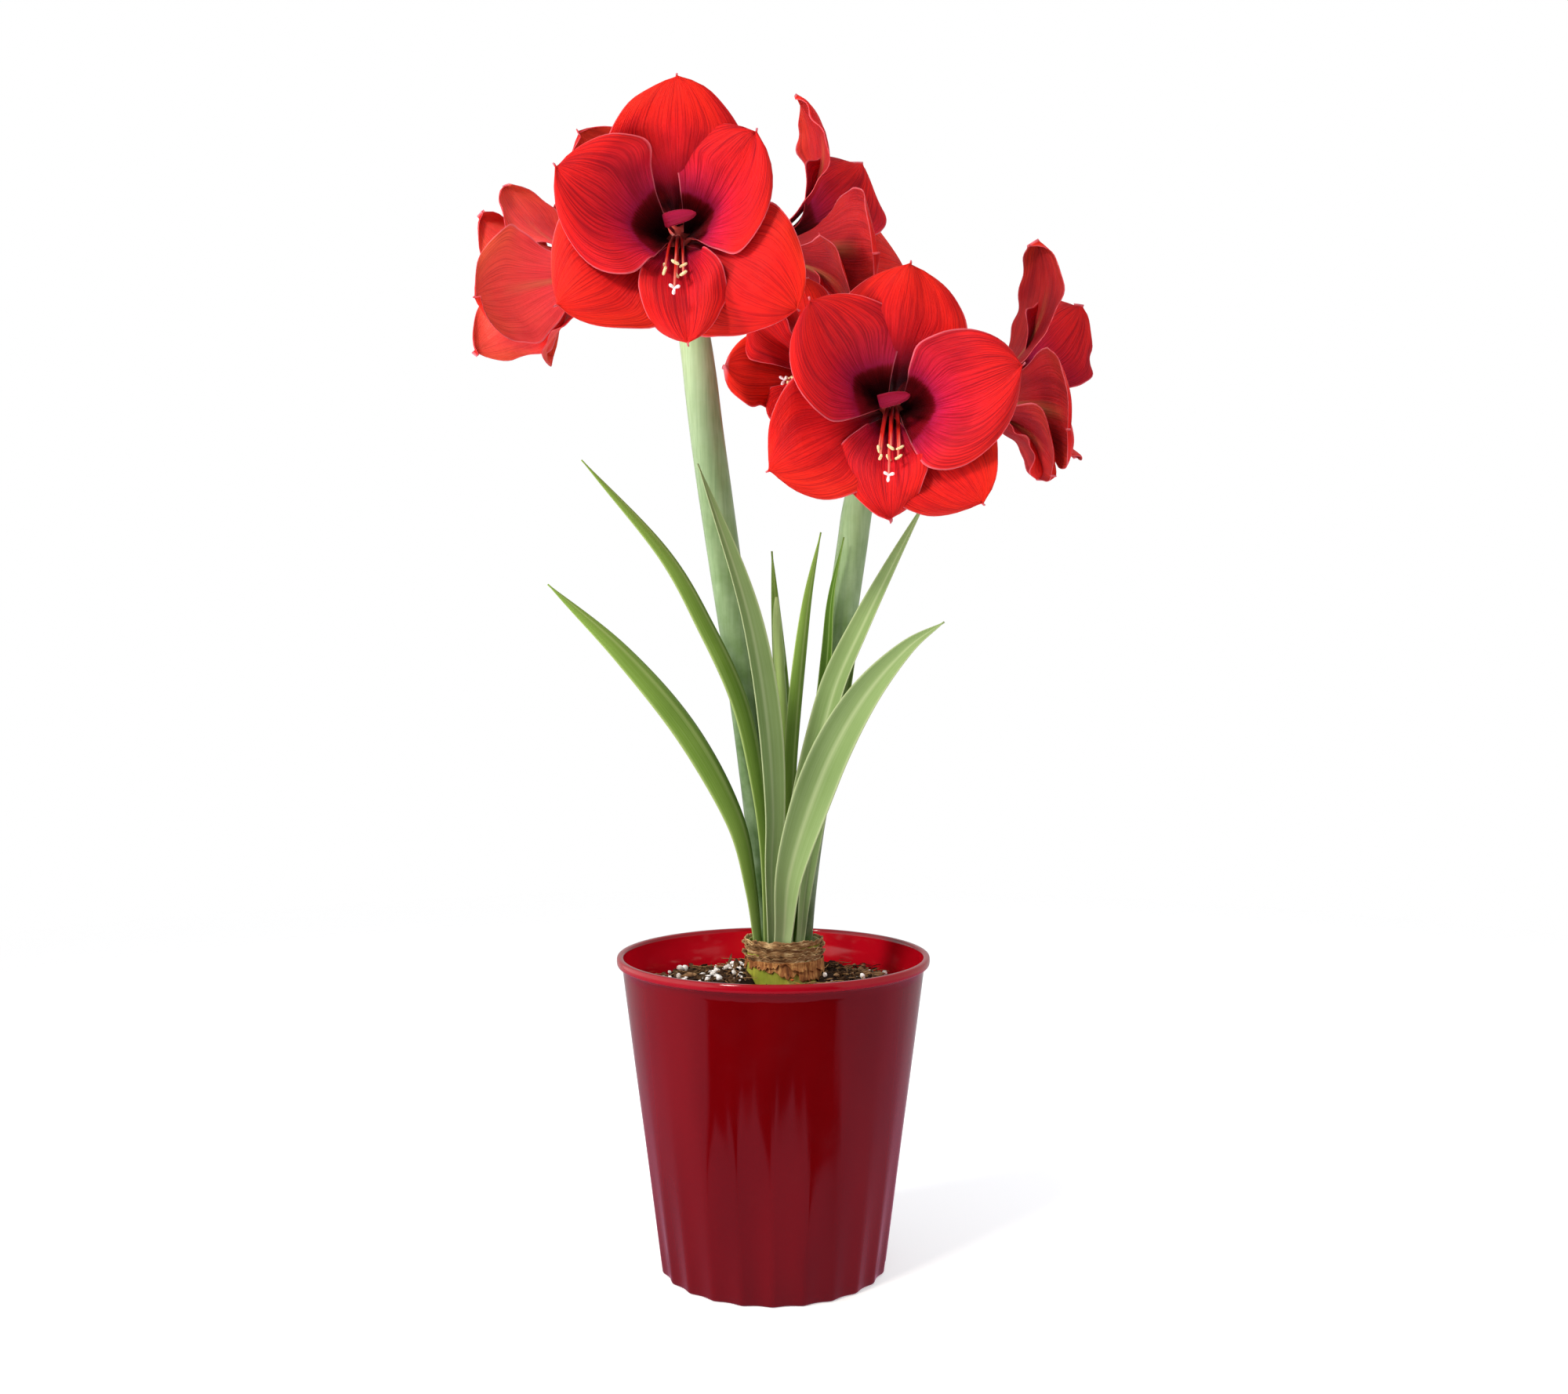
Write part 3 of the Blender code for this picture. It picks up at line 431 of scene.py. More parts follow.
leftSide = (
    petal(outer, 1, -4, 1.01, twist=20, half=30), petal(outer, -134, -20, 0.92),
    petal(outer, 108, 8, 1.08, half=34, cup=5), petal(inner, -66, -10, 0.88),
    petal(inner, 22, -13, 0.98, twist=14), petal(inner, 161, -30, 1.1, twist=-46, half=32, wrap=1.3),
)
# This bloom's petals end their dark throats early, so they are painted bright: painted light, for the lamp shining
# through them
lowLeft = (
    petal(broad, -88, -12, 0.9, dark=0.66, cup=3, recurve=0, half=33), petal(outer, 18),
    petal(outer, 138, -4, 0.9), petal(inner, -34, -6, 0.9, dark=0.5), petal(inner, 78),
    petal(inner, -156, 14, 0.68, dark=0.62),
)
regular = (
    petal(outer, -10), petal(outer, -130), petal(outer, 110),
    petal(inner, -70), petal(inner, 50), petal(lip, 170),
)
leftFront = (
    petal(broad, 1, 0, 0.99, fold=3.2, dark=-0.1, warp=3),
    petal(outer, 126, 0, 1.08, half=38, twist=-12, ruffle=4),
    petal(outer, -126, 0, 1.04, half=38, twist=-10, ruffle=5),
    petal(wide, 73, -2, 0.86, skew=-30, twist=9, fold=3.6, half=43),
    petal(wide, -95, -2, 0.94, skew=28, twist=-6, half=42.5, warp=3),
    petal(lip, 174, 0, 0.97, half=26, ruffle=6),
)
rightFront = (
    petal(broad, 9, 0, 0.98, fold=3.2, dark=-0.1), petal(outer, 137, 0, 0.97, half=36, ruffle=5),
    petal(outer, -118, 0, 0.98, half=35, twist=-10, warp=3),
    petal(wide, 97, 0, 1.01, skew=-22, twist=-7, warp=3),
    petal(wide, -57, -2, 0.95, skew=20, twist=-14, fold=4, half=39),
    petal(lip, -169, 0, 0.9, skew=-12, half=26, ruffle=5.5),
)
# Where each bloom's tube starts, the way it faces, how far it opens, its scale, how far its stamens droop, its seed
# and its petals. The first word of its name is the stem it is on.
bloomColumns = ("tube", "faces", "opening", "scale", "droop", "seed", "petals")
blooms = {name: dict(zip(bloomColumns, row)) for name, *row in (
    ("left_front", (-51, -46, 576), (0.03, -0.97, -0.06), 86, 1.06, 0.94, 3, leftFront),
    ("left_side", (-84, 10, 577), (-0.93, 0.26, -0.1), 60, 1, 0.4, 5, leftSide),
    ("left_right", (-16, 12, 585), (0.93, 0.02, 0.12), 88, 0.98, 0.7, 8, rightUpper),
    ("left_back", (-64, 50, 600), (-0.3, 0.75, 0.6), 84, 0.98, 0.8, 11, regular),
    ("right_front", (66, -36, 487.5), (-0.1, -0.975, -0.11), 86, 1.08, 0.94, 14, rightFront),
    ("right_side", (104, 14, 497), (0.93, 0.02, 0.14), 84, 1, 0.66, 17, rightSide),
    ("right_left", (38, 14, 508), (-0.62, -0.77, 0.12), 50, 0.8, 0.3, 21, lowLeft),
    ("right_back", (56, 50, 506), (-0.04, 0.82, 0.54), 82, 0.94, 0.7, 26, regular),
)}


# Local +Z runs out of the throat, +Y to the top petal and +X to the viewer's right. In mm.
def bloomMatrix(spec):
    out = Vector(spec["faces"]).normalized()
    up = Vector((0, 0, 1))
    top = (up - out * up.dot(out)).normalized()
    turn = Matrix((top.cross(out), top, out)).transposed().to_4x4()
    return Matrix.Translation(Vector(spec["tube"])) @ turn


def petalGrid(spec, form, rng, number):
    steps, scale = funnel["steps"], spec["scale"]
    fine = np.linspace(0, 1, steps + 1)
    opening = spec["opening"] + form["further"] + (rng.uniform(-3, 3) if form["inner"] else rng.uniform(4, 8))
    throat = funnel["throatAngle"]
    angle = np.radians(throat + (opening - throat) * fine**1.25 + form["recurve"] * fine**6)
    length = form["length"] * form["stretch"] * scale
    radius = funnel["clawRadius"] + length * np.concatenate([[0], np.cumsum(np.sin(angle[1:]))]) / steps
    height = funnel["start"] + length * np.concatenate([[0], np.cumsum(np.cos(angle[1:]))]) / steps
    phases = [rng.uniform(0, fullTurn) for _ in range(2)]
    waves = fullTurn * rng.uniform(1.6, 2.4)
    side = 1 if form["inner"] else -1

    share = np.linspace(0, 1, funnel["rows"] + 1)
    even = np.linspace(-1, 1, funnel["columns"] + 1)
    u = (0.55 * even + 0.45 * np.sin(even * math.pi / 2))[None, :]  # closer together near the margins
    r, z, lean = [np.interp(share, fine, values)[:, None] for values in (radius, height, angle)]
    s = share[:, None]

    # Each margin has its own slow wander and small nibbles, so that no two petals are cut alike
    def uneven(pace, step):
        key = step * number + spec["seed"]
        margins = np.array([[noise.noise((pace * b, way * 4, key)) for way in (0, 1)] for b in share])
        return 2 * np.where(u > 0, margins[:, 1:], margins[:, :1])

    body = form["half"] * scale * np.sin(math.pi * np.minimum(1, s * funnel["tip"]) ** 1.6).clip(0) ** 0.62
    body = body * (1 + funnel["edge"] * uneven(3.2, 5.1)) + funnel["nibble"] * np.sin(math.pi * s) * uneven(17, 2.3)
    limit = form["wrap"] * np.maximum(r - 4, 0)
    half = -np.log(np.exp(-body / 2.5) + np.exp(-limit / 2.5)) * 2.5  # the smaller of the two, without a corner
    half = np.maximum(np.maximum(half, 3.4 * scale * (1 - s)), 0.55 * np.sqrt(np.maximum(1.02 - s, 0)) * 4)
    blade = np.clip((s - 0.2) / 0.5, 0, 1)
    phase = np.where(u > 0, phases[1], phases[0])
    ruffle = form["ruffle"] * blade * np.abs(u) ** 2.5 * np.sin(waves * s + phase)
    frill = funnel["frill"] * form["ruffle"] / 3 * blade * np.abs(u) ** 5 * np.sin(2.9 * waves * s + 1.7 * phase)
    cup = side * form["cup"] * np.sin(math.pi * np.minimum(1, s * 1.1)) * (np.abs(u) ** 1.5 - 0.4)
    fold = side * form["fold"] * np.sin(math.pi * np.clip(s * 0.95, 0, 1)) * (0.5 - np.exp(-((u / 0.3) ** 2)))
    curl = funnel["curl"] * blade**2 * u**4
    groove = funnel["groove"] * np.exp(-((u / 0.06) ** 2)) * np.sin(math.pi * s).clip(0) ** 0.6
    key = 7.3 * number + spec["seed"]
    warp = form["warp"] * blade * np.array([[noise.noise((a * 1.4, b * 2.6, key)) for a in u[0]] for b in share])
    layer = side * funnel["layerStep"] / 2 * (1 + funnel["layerSpread"] * blade)
    twist = np.radians(form["twist"]) * smoothStep((s - 0.1) / 0.6)
    lift = layer + ruffle + frill + cup + fold - curl - groove + warp + u * half * np.sin(twist)
    turn = np.radians(form["azimuth"] + form["skew"] * s**2)
    turn = turn + u * half * np.cos(twist) / np.maximum(r, half / form["wrap"])
    reach = r - lift * np.cos(lean)
    grid = stacked(reach * np.sin(turn), reach * np.cos(turn), z + lift * np.sin(lean))
    return grid, stacked(u, form["dark"] + (1 - form["dark"]) * s)


# The small tongue in the throat of a front bloom: a strip that comes forward edge-on, then turns its face outward
tongue = {"rows": 34, "columns": 10, "thickness": 0.7, "root": 1.1, "growth": 2.3, "tipFrom": 0.78,
          "route": ((-1.5, 3.5, 6), (-4.5, 3.4, 26), (-6, 2.4, 40), (-4.5, 1.8, 47), (2, 3, 50), (10.5, 4.6, 50.5))}


def tongueGrid():
    line = smoothRoute(tongue["route"], tongue["rows"])[:, None]
    share = np.linspace(0, 1, tongue["rows"] + 1)[:, None]
    u = np.linspace(-1, 1, tongue["columns"] + 1)[None, :]
    past = np.maximum(0, (share - tongue["tipFrom"]) / (1 - tongue["tipFrom"]))
    swell = smoothStep((share - 0.5) / 0.22) * np.sqrt(np.maximum(0, 1.006 - past**2))
    half = np.where(share < tongue["tipFrom"], tongue["root"] + tongue["growth"] * swell,
                    (tongue["root"] + tongue["growth"]) * swell)
    sides = stacked(-0.25 * u * half, u * half, -1.1 * u * u + 0.35 * np.sin(9 * share + 2 * u))
    return line + sides, stacked(u, 0.455 + 0.06 * share)


for bloomName, spec in blooms.items():
    rng = random.Random(spec["seed"])
    parts = []
    for number, form in enumerate(spec["petals"]):
        grid, place = petalGrid(spec, form, rng, number)
        thickness = funnel["thickness"] * (1 - 0.45 * np.abs(place[..., 0]) ** 6)
        tone = 3.7 * spec["seed"] + 11.3 * number
        parts.append(bladeShape(grid, thickness, place, (0 if form["inner"] else 1, 2, 3), tone))
    if bloomName.endswith("front"):
        grid, place = tongueGrid()
        thickness = np.full(grid.shape[:2], tongue["thickness"])
        parts.append(bladeShape(grid, thickness, place, (0, 0, 3), 5.5 * spec["seed"]))
    lobes = 1 + 0.05 * np.cos(6 * ringAngles(funnel["tubeSides"]))
    parts.append(plug(0, funnel["tubeHeight"], np.outer(funnel["tubeRadii"], lobes), funnel["tubeSides"], 4))
    matrix = bloomMatrix(spec)
    # The reverse each bloom gets: the painted-light copy, the painted-shade copy, or the plain one
    used = {"left_side": paintedLitBacked, "left_right": paintedShadeBacked, "right_side": paintedShadeBacked}.get(bloomName, redBacked)
    addPiece("petals_" + bloomName, [moved(part, matrix) for part in parts], used, ["bloom_" + bloomName])
print("petals done")


# Stamens

stamenMaterials = [
    # Smooth fleshy thread: glossy red that pales towards the anther
    grainMaterial("filament", (0.32, 1.4, 0.5, {"Subsurface Weight": 0.15, "Subsurface Scale": mm}), (400, 2),
                  ((0.0, "#7c0d14"), (0.35, "#a5141a"), (0.75, "#d8281f"), (1.0, "#e87a6c")),
                  share=0.12, added=alongOf),
    # Dry sacs dusted with pollen: matt cream with a fine grain
    grainMaterial("antherPollen", (0.85, 1.45), (1600, 3),
                  ((0.3, "#c9a860"), (0.5, "#ecd9a0"), (0.72, "#f9efcc")), (0.6, 0.3)),
    # Moist, finely hairy lobes: white with a pink cast
    grainMaterial("stigma", (0.4, 1.4, 0.5, {"Subsurface Weight": 0.2, "Subsurface Scale": mm}), (1200, 2),
                  ((0.35, "#f4c8cc"), (0.6, "#fff4f2")), (0.4, 0.2)),
]
stamens = {"count": 6, "root": 1.0, "top": 0.55, "sides": 10, "rings": 26, "antherLength": 4.6, "antherRadius": 0.85,
           "antherSides": 12, "bow": 0.5, "lobes": 3, "lobeLength": 3.4, "lobeRadius": 0.75,
           "lobeSwell": (0.8, 0.85, 0.9, 1, 1.1, 1.2, 1.2, 1.0, 0.4),
           "hub": (9.3, 11.8, (3.2, 3.6, 3.7, 3.6, 3.3, 2.8, 2, 1), 20)}


def stamenRoute(k, rng, spec):
    style = k == stamens["count"]
    side = 0 if style else ((k % 3) - 1) * 4.6 + rng.uniform(-0.8, 0.8)
    reach = 62 if style else 48 + 6 * (k % 2) + rng.uniform(-2, 2)
    drop = 36 if style else 23 + 4 * (k // 3) + rng.uniform(-1, 1)
    start = np.array((side * 0.38, -0.6 if k // 3 else 0.9, 10))
    later = [(side * 0.7, -0.26 * drop, 0.5 * reach), (side, -drop, reach)]
    return [start] + [np.array((x, y * spec["droop"], z)) * spec["scale"] for x, y, z in later]


# The anther sits across the end of its thread
def antherShape(end, ahead, k, loose):
    across = unit(np.cross(ahead, (math.cos(k), math.sin(k), 0.4)))
    across = unit(across + ahead * loose.uniform(-0.5, 0.5))
    steps = np.linspace(-1, 1, stamens["antherSides"])
    bow = ahead * stamens["bow"]
    body = [end + bow + across * stamens["antherLength"] / 2 * t + bow * (1 - t * t) for t in steps]
    width = stamens["antherRadius"] * np.sqrt(np.clip(1.04 - steps**4, 0.05, 1))
    seams = 1 - 0.22 * np.cos(2 * ringAngles(stamens["antherSides"])) ** 8
    return stemShape(body, np.outer(width, seams), stamens["antherSides"], slot=1)


# One of the lobes that spread from the end of the style
def lobeShape(end, ahead, number):
    angle = fullTurn * number / stamens["lobes"] + 0.4
    lobe = unit(np.array((math.cos(angle), math.sin(angle), 0.45))) * stamens["lobeLength"]
    swell = np.array(stamens["lobeSwell"])
    curve = [end + lobe * t + ahead * 0.5 * t * t for t in np.linspace(0, 1, len(swell))]
    return stemShape(curve, stamens["lobeRadius"] * swell, stamens["sides"], slot=2)


for bloomName, spec in blooms.items():
    rng, loose = random.Random(spec["seed"]), random.Random(spec["seed"] + 100)
    parts = []
    for k in range(stamens["count"] + 1):
        style = k == stamens["count"]
        line = smoothRoute(stamenRoute(k, rng, spec), stamens["rings"])
        line = line if style else line[:-1]
        parts.append(stemShape(line, np.linspace(stamens["root"], stamens["top"], len(line)), stamens["sides"]))
        end, ahead = line[-1], unit(line[-1] - line[-2])
        parts += [lobeShape(end, ahead, number) for number in range(stamens["lobes"])] if style else [
            antherShape(end, ahead, k, loose)]
    parts.append(plug(*stamens["hub"]))
    matrix = bloomMatrix(spec)
    addPiece("anthers_" + bloomName, [moved(part, matrix) for part in parts], stamenMaterials,
             ["stamens_" + bloomName])
print("stamens done")


# Flower stems


# A hollow flower stem: waxy skin with a bluish bloom over fine length-ways ribs. Satin, pale where light grazes.
def stemMaterial():
    made, add, shader = newMaterial("waxyStem", 0.36, 1.42, 0.5, {"Coat Weight": 0.3, "Coat Roughness": 0.25})
    ribs = grainIn(add, 700, 2, (1, 1, 0.03))  # ribs some 1.4 mm apart
    dust = grainIn(add, 55, 4, roughness=0.6)
    # Darker towards the foot and paler at the top: painted shade low down, where leaves and blooms shade the stem, and
    # painted light above
    colour = add("ValToRGB", [add("MapRange", (heightOf(add), 0.17, 0.56))],
                 ((0.0, "#2c4714"), (0.35, "#456428"), (0.7, "#86a06c"), (1.0, "#a6b98e")))
    colour = tinted(add, colour, dust, 0.35, 0.75, 0.35, "#b4c8a4")
    colour = tinted(add, colour, ribs, 0.4, 0.7, 0.28, "#4d6a30")
    finish(shader, colour, ribs, 0.25, 0.3)
    feed(shader, {"Roughness": add("MapRange", (dust, 0.3, 0.7, 0.3, 0.48))})
    return made


# Each stem's route and its radii from foot to top
stems = {
    "left": (((-3.5, 8, 175), (-6, 8, 219), (-11, 7, 278), (-18.5, 6, 341), (-29, 5, 413), (-38, 5, 477),
              (-44, 5, 526), (-50, 4, 562)), (5.8, 7.2, 8.4, 9, 9.4, 9.8, 9.7, 8.6)),
    "right": (((16, -1, 175), (17.5, -1, 210), (21.5, 0, 250), (28.5, 1, 296), (38.5, 2, 368), (45, 2, 413),
               (49, 2, 440), (57, 2, 474)), (5.8, 6.8, 7.8, 8.2, 8.6, 8.8, 8.8, 7.8)),
}
umbel = {"rings": 110, "sides": 48, "pedicel": 4, "pedicelRings": 40, "pedicelSides": 24, "tuck": 6, "ovary": 14,
         "ovaryRadius": 6.6, "ovaryEnd": 6.3, "bend": 6, "arch": 3, "seatGap": 0.3, "dome": 1.6}
waxyStem = stemMaterial()


# A pedicel from the top of the stem to a bloom, swollen to the green ovary just below it
def pedicelShape(lower, bloom):
    matrix = bloomMatrix(bloom)
    out = np.array(matrix.to_3x3().col[2])
    seat = np.array(matrix.translation) - out * umbel["seatGap"]
    ovary = seat - out * umbel["ovary"]
    bend = ovary - out * umbel["bend"]
    start = lower + (bend - lower) * 0.12
    middle = lower + (bend - lower) * 0.6 + np.array((0, 0, umbel["arch"]))
    way = smoothRoute([start, middle, bend, ovary, seat - out * umbel["ovaryEnd"], seat], umbel["pedicelRings"])
    along = lengthsAlong(way)
    fromSeat = along[-1] - along
    swell = smoothStep((18 - fromSeat) / 8) * smoothStep((fromSeat + 3.5) / 7.5)
    width = umbel["pedicel"] + (umbel["ovaryRadius"] - umbel["pedicel"]) * swell + 0.5 * smoothStep(1 - fromSeat / 3)
    # An ovary has three rounded faces
    ribs = 1 - 0.07 * np.outer(swell, np.cos(1.5 * ringAngles(umbel["pedicelSides"])) ** 8)
    return stemShape(way, width[:, None] * ribs, umbel["pedicelSides"])


for stemName, (route, widths) in stems.items():
    line = smoothRoute(route, umbel["rings"])
    radii = np.interp(np.linspace(0, 1, umbel["rings"] + 1), np.linspace(0, 1, len(widths)), widths)
    ahead = unit(line[-1] - line[-2])
    coarse = smoothRoute(route, 10)
    lower = coarse[-1] - unit(coarse[-1] - coarse[-2]) * umbel["tuck"]
    domeTurns = np.linspace(0.3, math.pi / 2, 5)[:, None]
    dome = line[-1] + ahead * umbel["dome"] * np.sin(domeTurns)
    domeRadii = radii[-1] * np.cos(domeTurns[:, 0]) ** 0.7 + 0.05
    parts = [stemShape(np.concatenate([line, dome]), np.concatenate([radii, domeRadii]), umbel["sides"], flat=0.97)]
    parts += [pedicelShape(lower, bloom) for name, bloom in blooms.items() if name.startswith(stemName)]
    addPiece("stem_" + stemName, parts, [waxyStem], ["scape_" + stemName])
print("stems done")


# Leaves


# A strap leaf: tough smooth skin with parallel veins, satin, darker in the channel with pale margins.
def leafMaterial(name, dark, mid, pale, edge):
    made, add, shader = newMaterial(name, 0.5, 1.43, 0.1)
    place, side, along = placeOn(add)
    across = add("Math ABSOLUTE", [side])
    # Parallel veins about 1 mm apart across a blade 18 mm wide
    veins = grainIn(add, 2, 3, (9, 1.5, 0), 0.5, place, add("CombineXYZ", {"Z": toneOf(add)}))
    colour = add("ValToRGB", [along], ((0.0, pale), (0.18, mid), (0.55, dark), (0.9, mid), (1.0, mid)))
    colour = tinted(add, colour, grainIn(add, 38, 4), 0.35, 0.7, 0.4, mid)
    colour = tinted(add, colour, veins, 0.4, 0.75, 0.22, pale)
    # A pale line down the midrib: a painted highlight, as the glossy groove would catch the light
    midrib = add("MapRange", (across, 0.22, 0, 0, 0.34))
    paler = add("Math MAXIMUM", (add("MapRange", (across, 0.86, 0.99, 0, 0.5)), midrib))
    finish(shader, add("Mix", (paler, colour, edge)))
    return made


darkFace = leafMaterial("leafDarkFace", "#2f4c12", "#45641c", "#6f8c42", "#9cb06c")
# A paler grey-green copy of the upper face, for the leaves that catch the light: partly their own greyer tone, partly
# painted sheen
paleSheenFace = leafMaterial("leafPaleSheenFace", "#6c824c", "#7e945c", "#9eae80", "#bec69a")
leafBack = leafMaterial("leafBack", "#5c7a2a", "#76923e", "#97ae6a", "#b9c684")
leafBuild = {"rows": 110, "columns": 18, "thickness": 1.3, "tip": 0.55, "channel": 0.46, "leastHalf": 0.45}
# The leaves' routes from the neck of the bulb, their half widths at the neck and at the widest, how far they are
# rolled round at the foot and the tip, which way their channel opens, and the face that is seen
leafColumns = ("neck", "half", "roll", "channel", "face", "route")
leaves = {name: dict(zip(leafColumns, row)) for name, *row in (
    ("left_low", 4, 10, (62, 42), 1, darkFace, (
        (-7.4, -3.6, 175), (-12, -7, 219), (-21, -12, 260), (-47, -20, 309), (-83, -30, 353), (-124, -38, 391))),
    ("left_high", 4, 9, (70, 55), 1, darkFace, (
        (-3, -5, 175), (-4, -10, 242), (-9, -15, 287), (-18, -17, 327), (-36, -19, 367), (-61, -21, 410),
        (-107, -24, 461))),
    ("left_upright", 3.5, 8, (30, 40), -1, paleSheenFace, (
        (0, -9.5, 175), (-0.7, -19, 228), (0.5, -23, 264), (-2, -26, 309), (-8.5, -26, 354), (-19, -26, 395),
        (-42, -24, 459))),
    ("middle_thin", 3, 5, (20, 10), 1, darkFace, (
        (6, 14.5, 175), (7, 15, 278), (5.5, 15, 323), (1.5, 15, 377), (-1, 15, 413))),
    ("middle", 3, 5.5, (60, 30), 1, darkFace, (
        (4.5, -3.5, 175), (9, -5, 255), (11, -6, 300), (15, -7, 345), (20, -8, 386), (27, -9, 422))),
    ("right_high", 3.2, 8.5, (-20, -48), -1, paleSheenFace, (
        (8, -10, 175), (9, -13, 233), (18, -18, 273), (26, -21, 305), (35, -23, 337), (49, -25, 368), (66, -26, 402),
        (86, -26, 440))),
    ("right_inner", 2, 4.5, (-20, -40), -1, darkFace, (
        (9.5, -6.3, 175), (14, -9.5, 215), (20, -12, 255), (26, -12.5, 300), (30.5, -12, 352), (33, -12, 385),
        (40, -12, 419))),
    ("right_short", 2.2, 5, (20, -25), -1, paleSheenFace, (
        (14, -11.5, 175), (18.5, -14.5, 220), (27, -17, 273), (35, -17, 305), (41, -18, 332), (48, -18, 364))),
    ("front", 4.5, 11, (0, -25), -1, paleSheenFace, (
        (4, -13.6, 175), (6, -17.5, 195), (9, -26, 228), (19, -33, 264), (33, -40, 300), (51, -46, 331), (73, -50, 356),
        (93, -52, 370))),
)}


def leafGrid(spec):
    rows, columns = leafBuild["rows"], leafBuild["columns"]
    line = smoothRoute(spec["route"], rows)
    along = unit(np.gradient(line, axis=0))
    share = np.linspace(0, 1, rows + 1)[:, None]
    depth = np.array((0.0, 1.0, 0.0))
    across = unit(np.cross(depth, along))
    roll = np.radians(spec["roll"][0] + (spec["roll"][1] - spec["roll"][0]) * share)
    width = across * np.cos(roll) + depth * np.sin(roll)
    width = unit(width - along * np.sum(width * along, axis=1, keepdims=True))
    normal = np.cross(along, width) * spec["channel"]
    body = spec["neck"] + (spec["half"] - spec["neck"]) * smoothStep(share / 0.5)
    fall = np.clip((share - 0.5) / 0.5, 0, 1)
    half = np.maximum(body * (1 - fall**2.1), leafBuild["leastHalf"])
    even = np.linspace(-1, 1, columns + 1)
    u = (0.6 * even + 0.4 * np.sin(even * math.pi / 2))[None, :, None]
    h = half[:, None, :]
    grid = line[:, None] + width[:, None] * (u * h) + normal[:, None] * (leafBuild["channel"] * h * (u * u - 0.5))
    taper = 1 - (1 - leafBuild["tip"]) * share
    return grid, leafBuild["thickness"] * taper * (1 - 0.5 * np.abs(u[..., 0]) ** 3), stacked(u[..., 0], share)


for number, (leafName, spec) in enumerate(leaves.items()):
    # The channelled side is the leaf's upper face
    slots = (0, 1, 0) if spec["channel"] < 0 else (1, 0, 0)
    part = bladeShape(*leafGrid(spec), slots, 4.1 * number)
    addPiece("strap_" + leafName, [part], [spec["face"], leafBack], ["leaf_" + leafName])


def budMaterial():  # the closed young bud in its thin sheath: fresh pale green, satin
    made, add, shader = newMaterial("youngBud", 0.4, 1.42)
    ribs = grainIn(add, 900, 2, (1, 1, 0.04))
    colour = add("ValToRGB", [add("MapRange", (heightOf(add), 0.18, 0.385))],
                 ((0.0, "#54702c"), (0.6, "#86a350"), (1.0, "#bcd088")))
    finish(shader, tinted(add, colour, ribs, 0.4, 0.7, 0.3, "#6f8c40"), ribs, 0.3, 0.3)
    return made


bud = {"route": ((7, 7, 175), (6.5, 8, 278), (4.5, 8, 330), (2, 8, 372), (1.6, 8, 386)),
       "radii": (3.2, 3.4, 3.4, 3.2, 1.2), "rings": 60, "tipFrom": 0.8, "tipRadius": 3.3}
share = np.linspace(0, 1, bud["rings"] + 1)
swollen = np.interp(share, np.linspace(0, 1, len(bud["radii"])), bud["radii"])
pointed = bud["tipRadius"] * np.sqrt(np.clip(1 - ((share - bud["tipFrom"]).clip(0) / 0.205) ** 1.8, 0.01, 1))
budRadii = np.where(share > bud["tipFrom"], pointed, swollen)
budShape = stemShape(smoothRoute(bud["route"], bud["rings"]), budRadii, 28, flat=0.8)
addPiece("bud_sheath", [budShape], [budMaterial()], ["bud_young"])
print("leaves done")


# Pot

# Injection-moulded polystyrene dyed through: very glossy, deep red, reflections broken by the flutes.
pot = {"height": 180, "lipHeight": 5.5, "top": 87, "foot": 65, "wall": 2.4, "floor": 3, "flutes": 24,
       "fluteFoot": 1.5, "fluteTop": 0.06, "columns": 360, "ridge": 0.3, "innerRings": 24,
       "thinsFrom": 115, "thinsBy": 1.2, "base": 0.8,
       # How far in and how high the foot's ring runs, and the radii and heights of the round lip
       "footRing": ((40, 0.8), (6, 0.8), (3.2, 0), (1.6, 0), (0.7, 0.3), (0.2, 0.8)),
       "lip": ((88.9, 175.3), (89.5, 175.5), (89.8, 176), (90, 177.2), (89.95, 178.8), (89.7, 179.6), (89.2, 180),
               (87.2, 180), (86.5, 179.7), (86.1, 179), (85.9, 177.6))}
shoulder = pot["height"] - pot["lipHeight"]


def potInside(height):
    foot = pot["foot"] - pot["fluteFoot"] - pot["wall"]
    return foot + (pot["top"] - pot["wall"] - foot) * height / shoulder


def potOutside(height, flute):
    share = height / shoulder
    depth = pot["fluteTop"] + (pot["fluteFoot"] - pot["fluteTop"]) * (1 - share) ** 2.6
    return pot["foot"] + (pot["top"] - pot["foot"]) * share - depth * flute


def potMaterial():
    made, add, shader = newMaterial("redPolystyrene", 0.07, 1.55, 0.42)
    flow = grainIn(add, 26, 2, (1, 1, 0.25))
    colour = add("ValToRGB", [flow], ((0.3, "#560003"), (0.7, "#640206")))
    # The rolled lip is painted a brighter red: painted light, where its rounded rim catches the lamps
    colour = tinted(add, colour, heightOf(add), 0.1745, 0.1765, 1, "#8e0516")
    # The inner face is painted a brighter red: painted glow, standing for light coming through the thin wall from
    # behind
    colour = add("Mix", (placeOn(add)[1], colour, "#c8081c"))
    finish(shader, colour, flow, 0.12, 1.5)
    # Faint handling marks dull the gloss in patches some 15 mm across
    marks = grainIn(add, 60, 3, roughness=0.6)
    feed(shader, {"Roughness": add("MapRange", (marks, 0.45, 0.75, 0.06, 0.11))})
    return made


